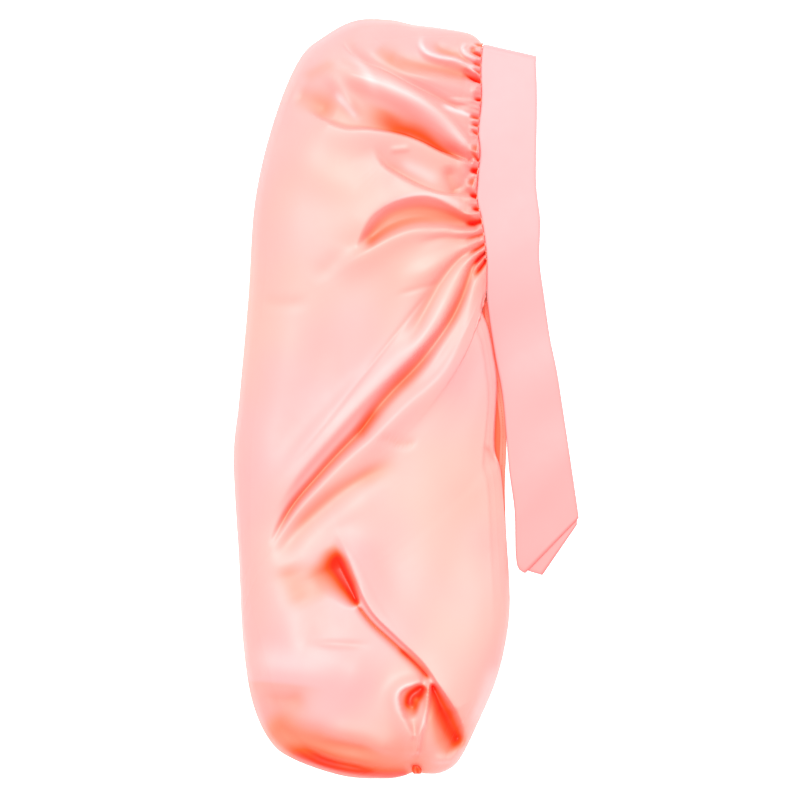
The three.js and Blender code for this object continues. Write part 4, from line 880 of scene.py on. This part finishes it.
class Nodes:
    """A material with its nodes added one after another."""

    def __init__(self, name):
        self.material = bpy.data.materials.new(name)
        self.material.use_nodes = True
        self.tree = self.material.node_tree
        self.shader = self.tree.nodes["Principled BSDF"]

    def add(self, kind, values=(), **settings):
        node = self.tree.nodes.new(kind)
        for key, value in settings.items():
            setattr(node, key, value)
        for key, value in dict(values).items():
            if isinstance(value, bpy.types.NodeSocket):
                self.tree.links.new(value, node.inputs[key])
            else:
                node.inputs[key].default_value = value
        return node

    def ramp(self, factor, stops):
        node = self.add("ShaderNodeValToRGB", {"Fac": factor})
        elements = node.color_ramp.elements
        while len(elements) < len(stops):
            elements.new(0.5)
        for element, (position, colour) in zip(elements, stops):
            element.position = position
            element.color = (*colour, 1)
        return node.outputs["Color"]

    def link(self, output, name):
        self.tree.links.new(output, self.shader.inputs[name])

    def noise(self, scale, detail=2.0):
        place = self.add("ShaderNodeTexCoord").outputs["Object"]
        values = {"Vector": place, "Scale": scale, "Detail": detail}
        return self.add("ShaderNodeTexNoise", values).outputs["Fac"]

    def spread(self, value, **ends):
        """The value moved from one range to another; the ends left out are 0 and 1."""
        ends = {key.replace("_", " ").title(): end for key, end in ends.items()}
        return self.add("ShaderNodeMapRange", {"Value": value, **ends}).outputs["Result"]

    def blend(self, factor, first, second):
        node = self.add("ShaderNodeMix", data_type="RGBA")
        for slot, value in ((0, factor), (6, first), (7, second)):
            if isinstance(value, bpy.types.NodeSocket):
                self.tree.links.new(value, node.inputs[slot])
            else:
                node.inputs[slot].default_value = value if slot == 0 else (*value, 1)
        return node.outputs[2]

    def bump(self, height, strength, distance):
        node = self.add("ShaderNodeBump", {"Height": height, "Strength": strength, "Distance": distance})
        self.link(node.outputs["Normal"], "Normal")


def weave(nodes, colour, rough):
    """Satin: the colour, a sheen that varies a little over the cloth, and its fine threads."""
    nodes.link(colour, "Base Color")
    nodes.link(nodes.spread(nodes.noise(90, 3.0), to_min=rough[0], to_max=rough[1]), "Roughness")
    nodes.bump(nodes.noise(900, 4.0), 0.12, 0.0004)
    nodes.shader.inputs["Specular IOR Level"].default_value = 0.3
    nodes.shader.inputs["Sheen Weight"].default_value = 0.1
    nodes.shader.inputs["Sheen Roughness"].default_value = 0.4
    return nodes.material


def bag_material():
    nodes = Nodes("pink_satin")
    # The cloth's own pinks, deepened to coral and red as painted shade and paled as painted highlight where
    # the hollow attribute says.
    hollow = nodes.add("ShaderNodeAttribute", attribute_name="hollow").outputs["Fac"]
    cloth = nodes.ramp(nodes.noise(6), [(0.35, PINK), (0.65, PEACH)])
    deep = nodes.ramp(hollow, [(SHADED, CORAL_SHADE), (0.75, EMBER_SHADE), (1, DEEPEST_SHADE)])
    shaded = nodes.spread(hollow, from_max=SHADED)
    highlight_share = nodes.spread(hollow, from_max=PAINTED_HIGHLIGHT_LIMIT)
    return weave(nodes, nodes.blend(shaded, nodes.blend(highlight_share, cloth, PAINTED_HIGHLIGHT), deep), (0.42, 0.52))


def band_material():
    """The same satin folded double, a little paler towards the top of the head."""
    nodes = Nodes("band_satin")
    place = nodes.add("ShaderNodeTexCoord").outputs["Object"]
    height = nodes.add("ShaderNodeSeparateXYZ", {"Vector": place}).outputs["Y"]
    up = nodes.spread(height, from_min=-0.2, from_max=0.3)
    blotch = nodes.ramp(nodes.noise(9), [(0.3, BAND_PALE), (0.7, PINK)])
    return weave(nodes, nodes.blend(up, BAND_PINK, nodes.blend(0.25, BAND_PALE, blotch)), (0.46, 0.56))


def shaded_hem_material():
    """Single satin over the opening, in the painted shade of deep coral, with a faint glow of painted light.
    """
    nodes = Nodes("hem_satin")
    colour = nodes.ramp(nodes.noise(9), [(0.3, HEM_SHADE), (0.7, CORAL_SHADE)])
    # A faint glow that is painted light lifting the shade.
    nodes.link(colour, "Emission Color")
    nodes.shader.inputs["Emission Strength"].default_value = 0.1
    return weave(nodes, colour, (0.5, 0.6))


def shaded_thread_material():
    nodes = Nodes("thread")
    # Thread in painted shade, ember to coral, for the dark groove round the stitches.
    nodes.link(nodes.ramp(nodes.noise(400), [(0.3, EMBER_SHADE), (0.7, CORAL_SHADE)]), "Base Color")
    nodes.shader.inputs["Roughness"].default_value = 0.6
    return nodes.material


def finished(obj, material, nodes):
    obj.data.materials.append(material)
    for node in nodes:
        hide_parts(node)
    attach(obj, "root")
    return obj


PANELS = [
    f"{layer}_{name}"
    for layer in ("upper", "lower")
    for name in ("crown", "brow", "shoulder", "waist", "body", "tail")
]
PANELS += ["upper_tail_end", "drawn_tail"]
rows, upper, lower, hollow = bag_grid()
satin = bag_material()
hem_satin = shaded_hem_material()
band_satin = band_material()
thread = shaded_thread_material()

bag = finished(make_bag(rows, upper, lower, hollow), satin, PANELS)
upper_hem_piece = hem("upper_hem_satin", rows, upper, -CLOTH - HEM_INSIDE)
lower_hem_piece = hem("lower_hem_satin", rows, lower, CLOTH + HEM_INSIDE)
finished(upper_hem_piece, hem_satin, ["upper_nape_hem"])
finished(lower_hem_piece, hem_satin, ["lower_nape_hem"])
tuft = finished(make_tuft(), satin, ["tail_tuft"])
band = finished(make_band(), band_satin, ["tie_band"])
seam_thread = finished(seam_stitches(), thread, [])
nape_thread = finished(nape_stitches(lower, rows), thread, [])


def floor_and_light():
    bpy.ops.mesh.primitive_plane_add(size=FLOOR_SIZE, location=(0, 0, FLOOR_LEVEL))
    floor = bpy.context.object
    floor.name = "floor"
    paper = Nodes("white_paper")
    greys = [(0.3, (0.9, 0.9, 0.9)), (0.7, (0.92, 0.92, 0.92))]
    paper.link(paper.ramp(paper.noise(3), greys), "Base Color")
    paper.shader.inputs["Roughness"].default_value = 0.9
    paper.shader.inputs["Emission Color"].default_value = (1, 1, 1, 1)
    paper.shader.inputs["Emission Strength"].default_value = 0.35
    floor.data.materials.append(paper.material)
    world = bpy.data.worlds.new("studio")
    bpy.context.scene.world = world
    world.use_nodes = True
    tree = world.node_tree
    tree.nodes["Background"].inputs["Color"].default_value = (1, 1, 1, 1)
    place = tree.nodes.new("ShaderNodeTexCoord")
    towards = tree.nodes.new("ShaderNodeVectorMath")
    towards.operation = "DOT_PRODUCT"
    towards.inputs[1].default_value = SKY_FROM
    level = tree.nodes.new("ShaderNodeMapRange")
    level.inputs["From Min"].default_value = 0
    level.inputs["To Min"].default_value = SKY_LEAST
    level.inputs["To Max"].default_value = SKY_MOST
    tree.links.new(place.outputs["Generated"], towards.inputs[0])
    tree.links.new(towards.outputs["Value"], level.inputs["Value"])
    tree.links.new(level.outputs["Result"], tree.nodes["Background"].inputs["Strength"])
    lamp = bpy.data.lights.new("key", "SUN")
    lamp.energy = SUN
    lamp.angle = math.radians(SUN_SIZE)
    key = bpy.data.objects.new("key", lamp)
    key.rotation_euler = (math.radians(SUN_TILT[0]), math.radians(SUN_TILT[1]), 0)
    bpy.context.collection.objects.link(key)


def camera():
    cam = bpy.data.cameras.new("camera")
    cam.lens = LENS
    cam.sensor_width = SENSOR
    obj = bpy.data.objects.new("camera", cam)
    bpy.context.collection.objects.link(obj)
    obj.location = np.array([EYE_X + SHIFT[0], EYE_Y + SHIFT[1], EYE_HEIGHT + EDGE]) * MM
    obj.rotation_euler = (0, 0, 0)
    bpy.context.scene.camera = obj


floor_and_light()
camera()
bpy.context.scene.view_settings.view_transform = "Standard"
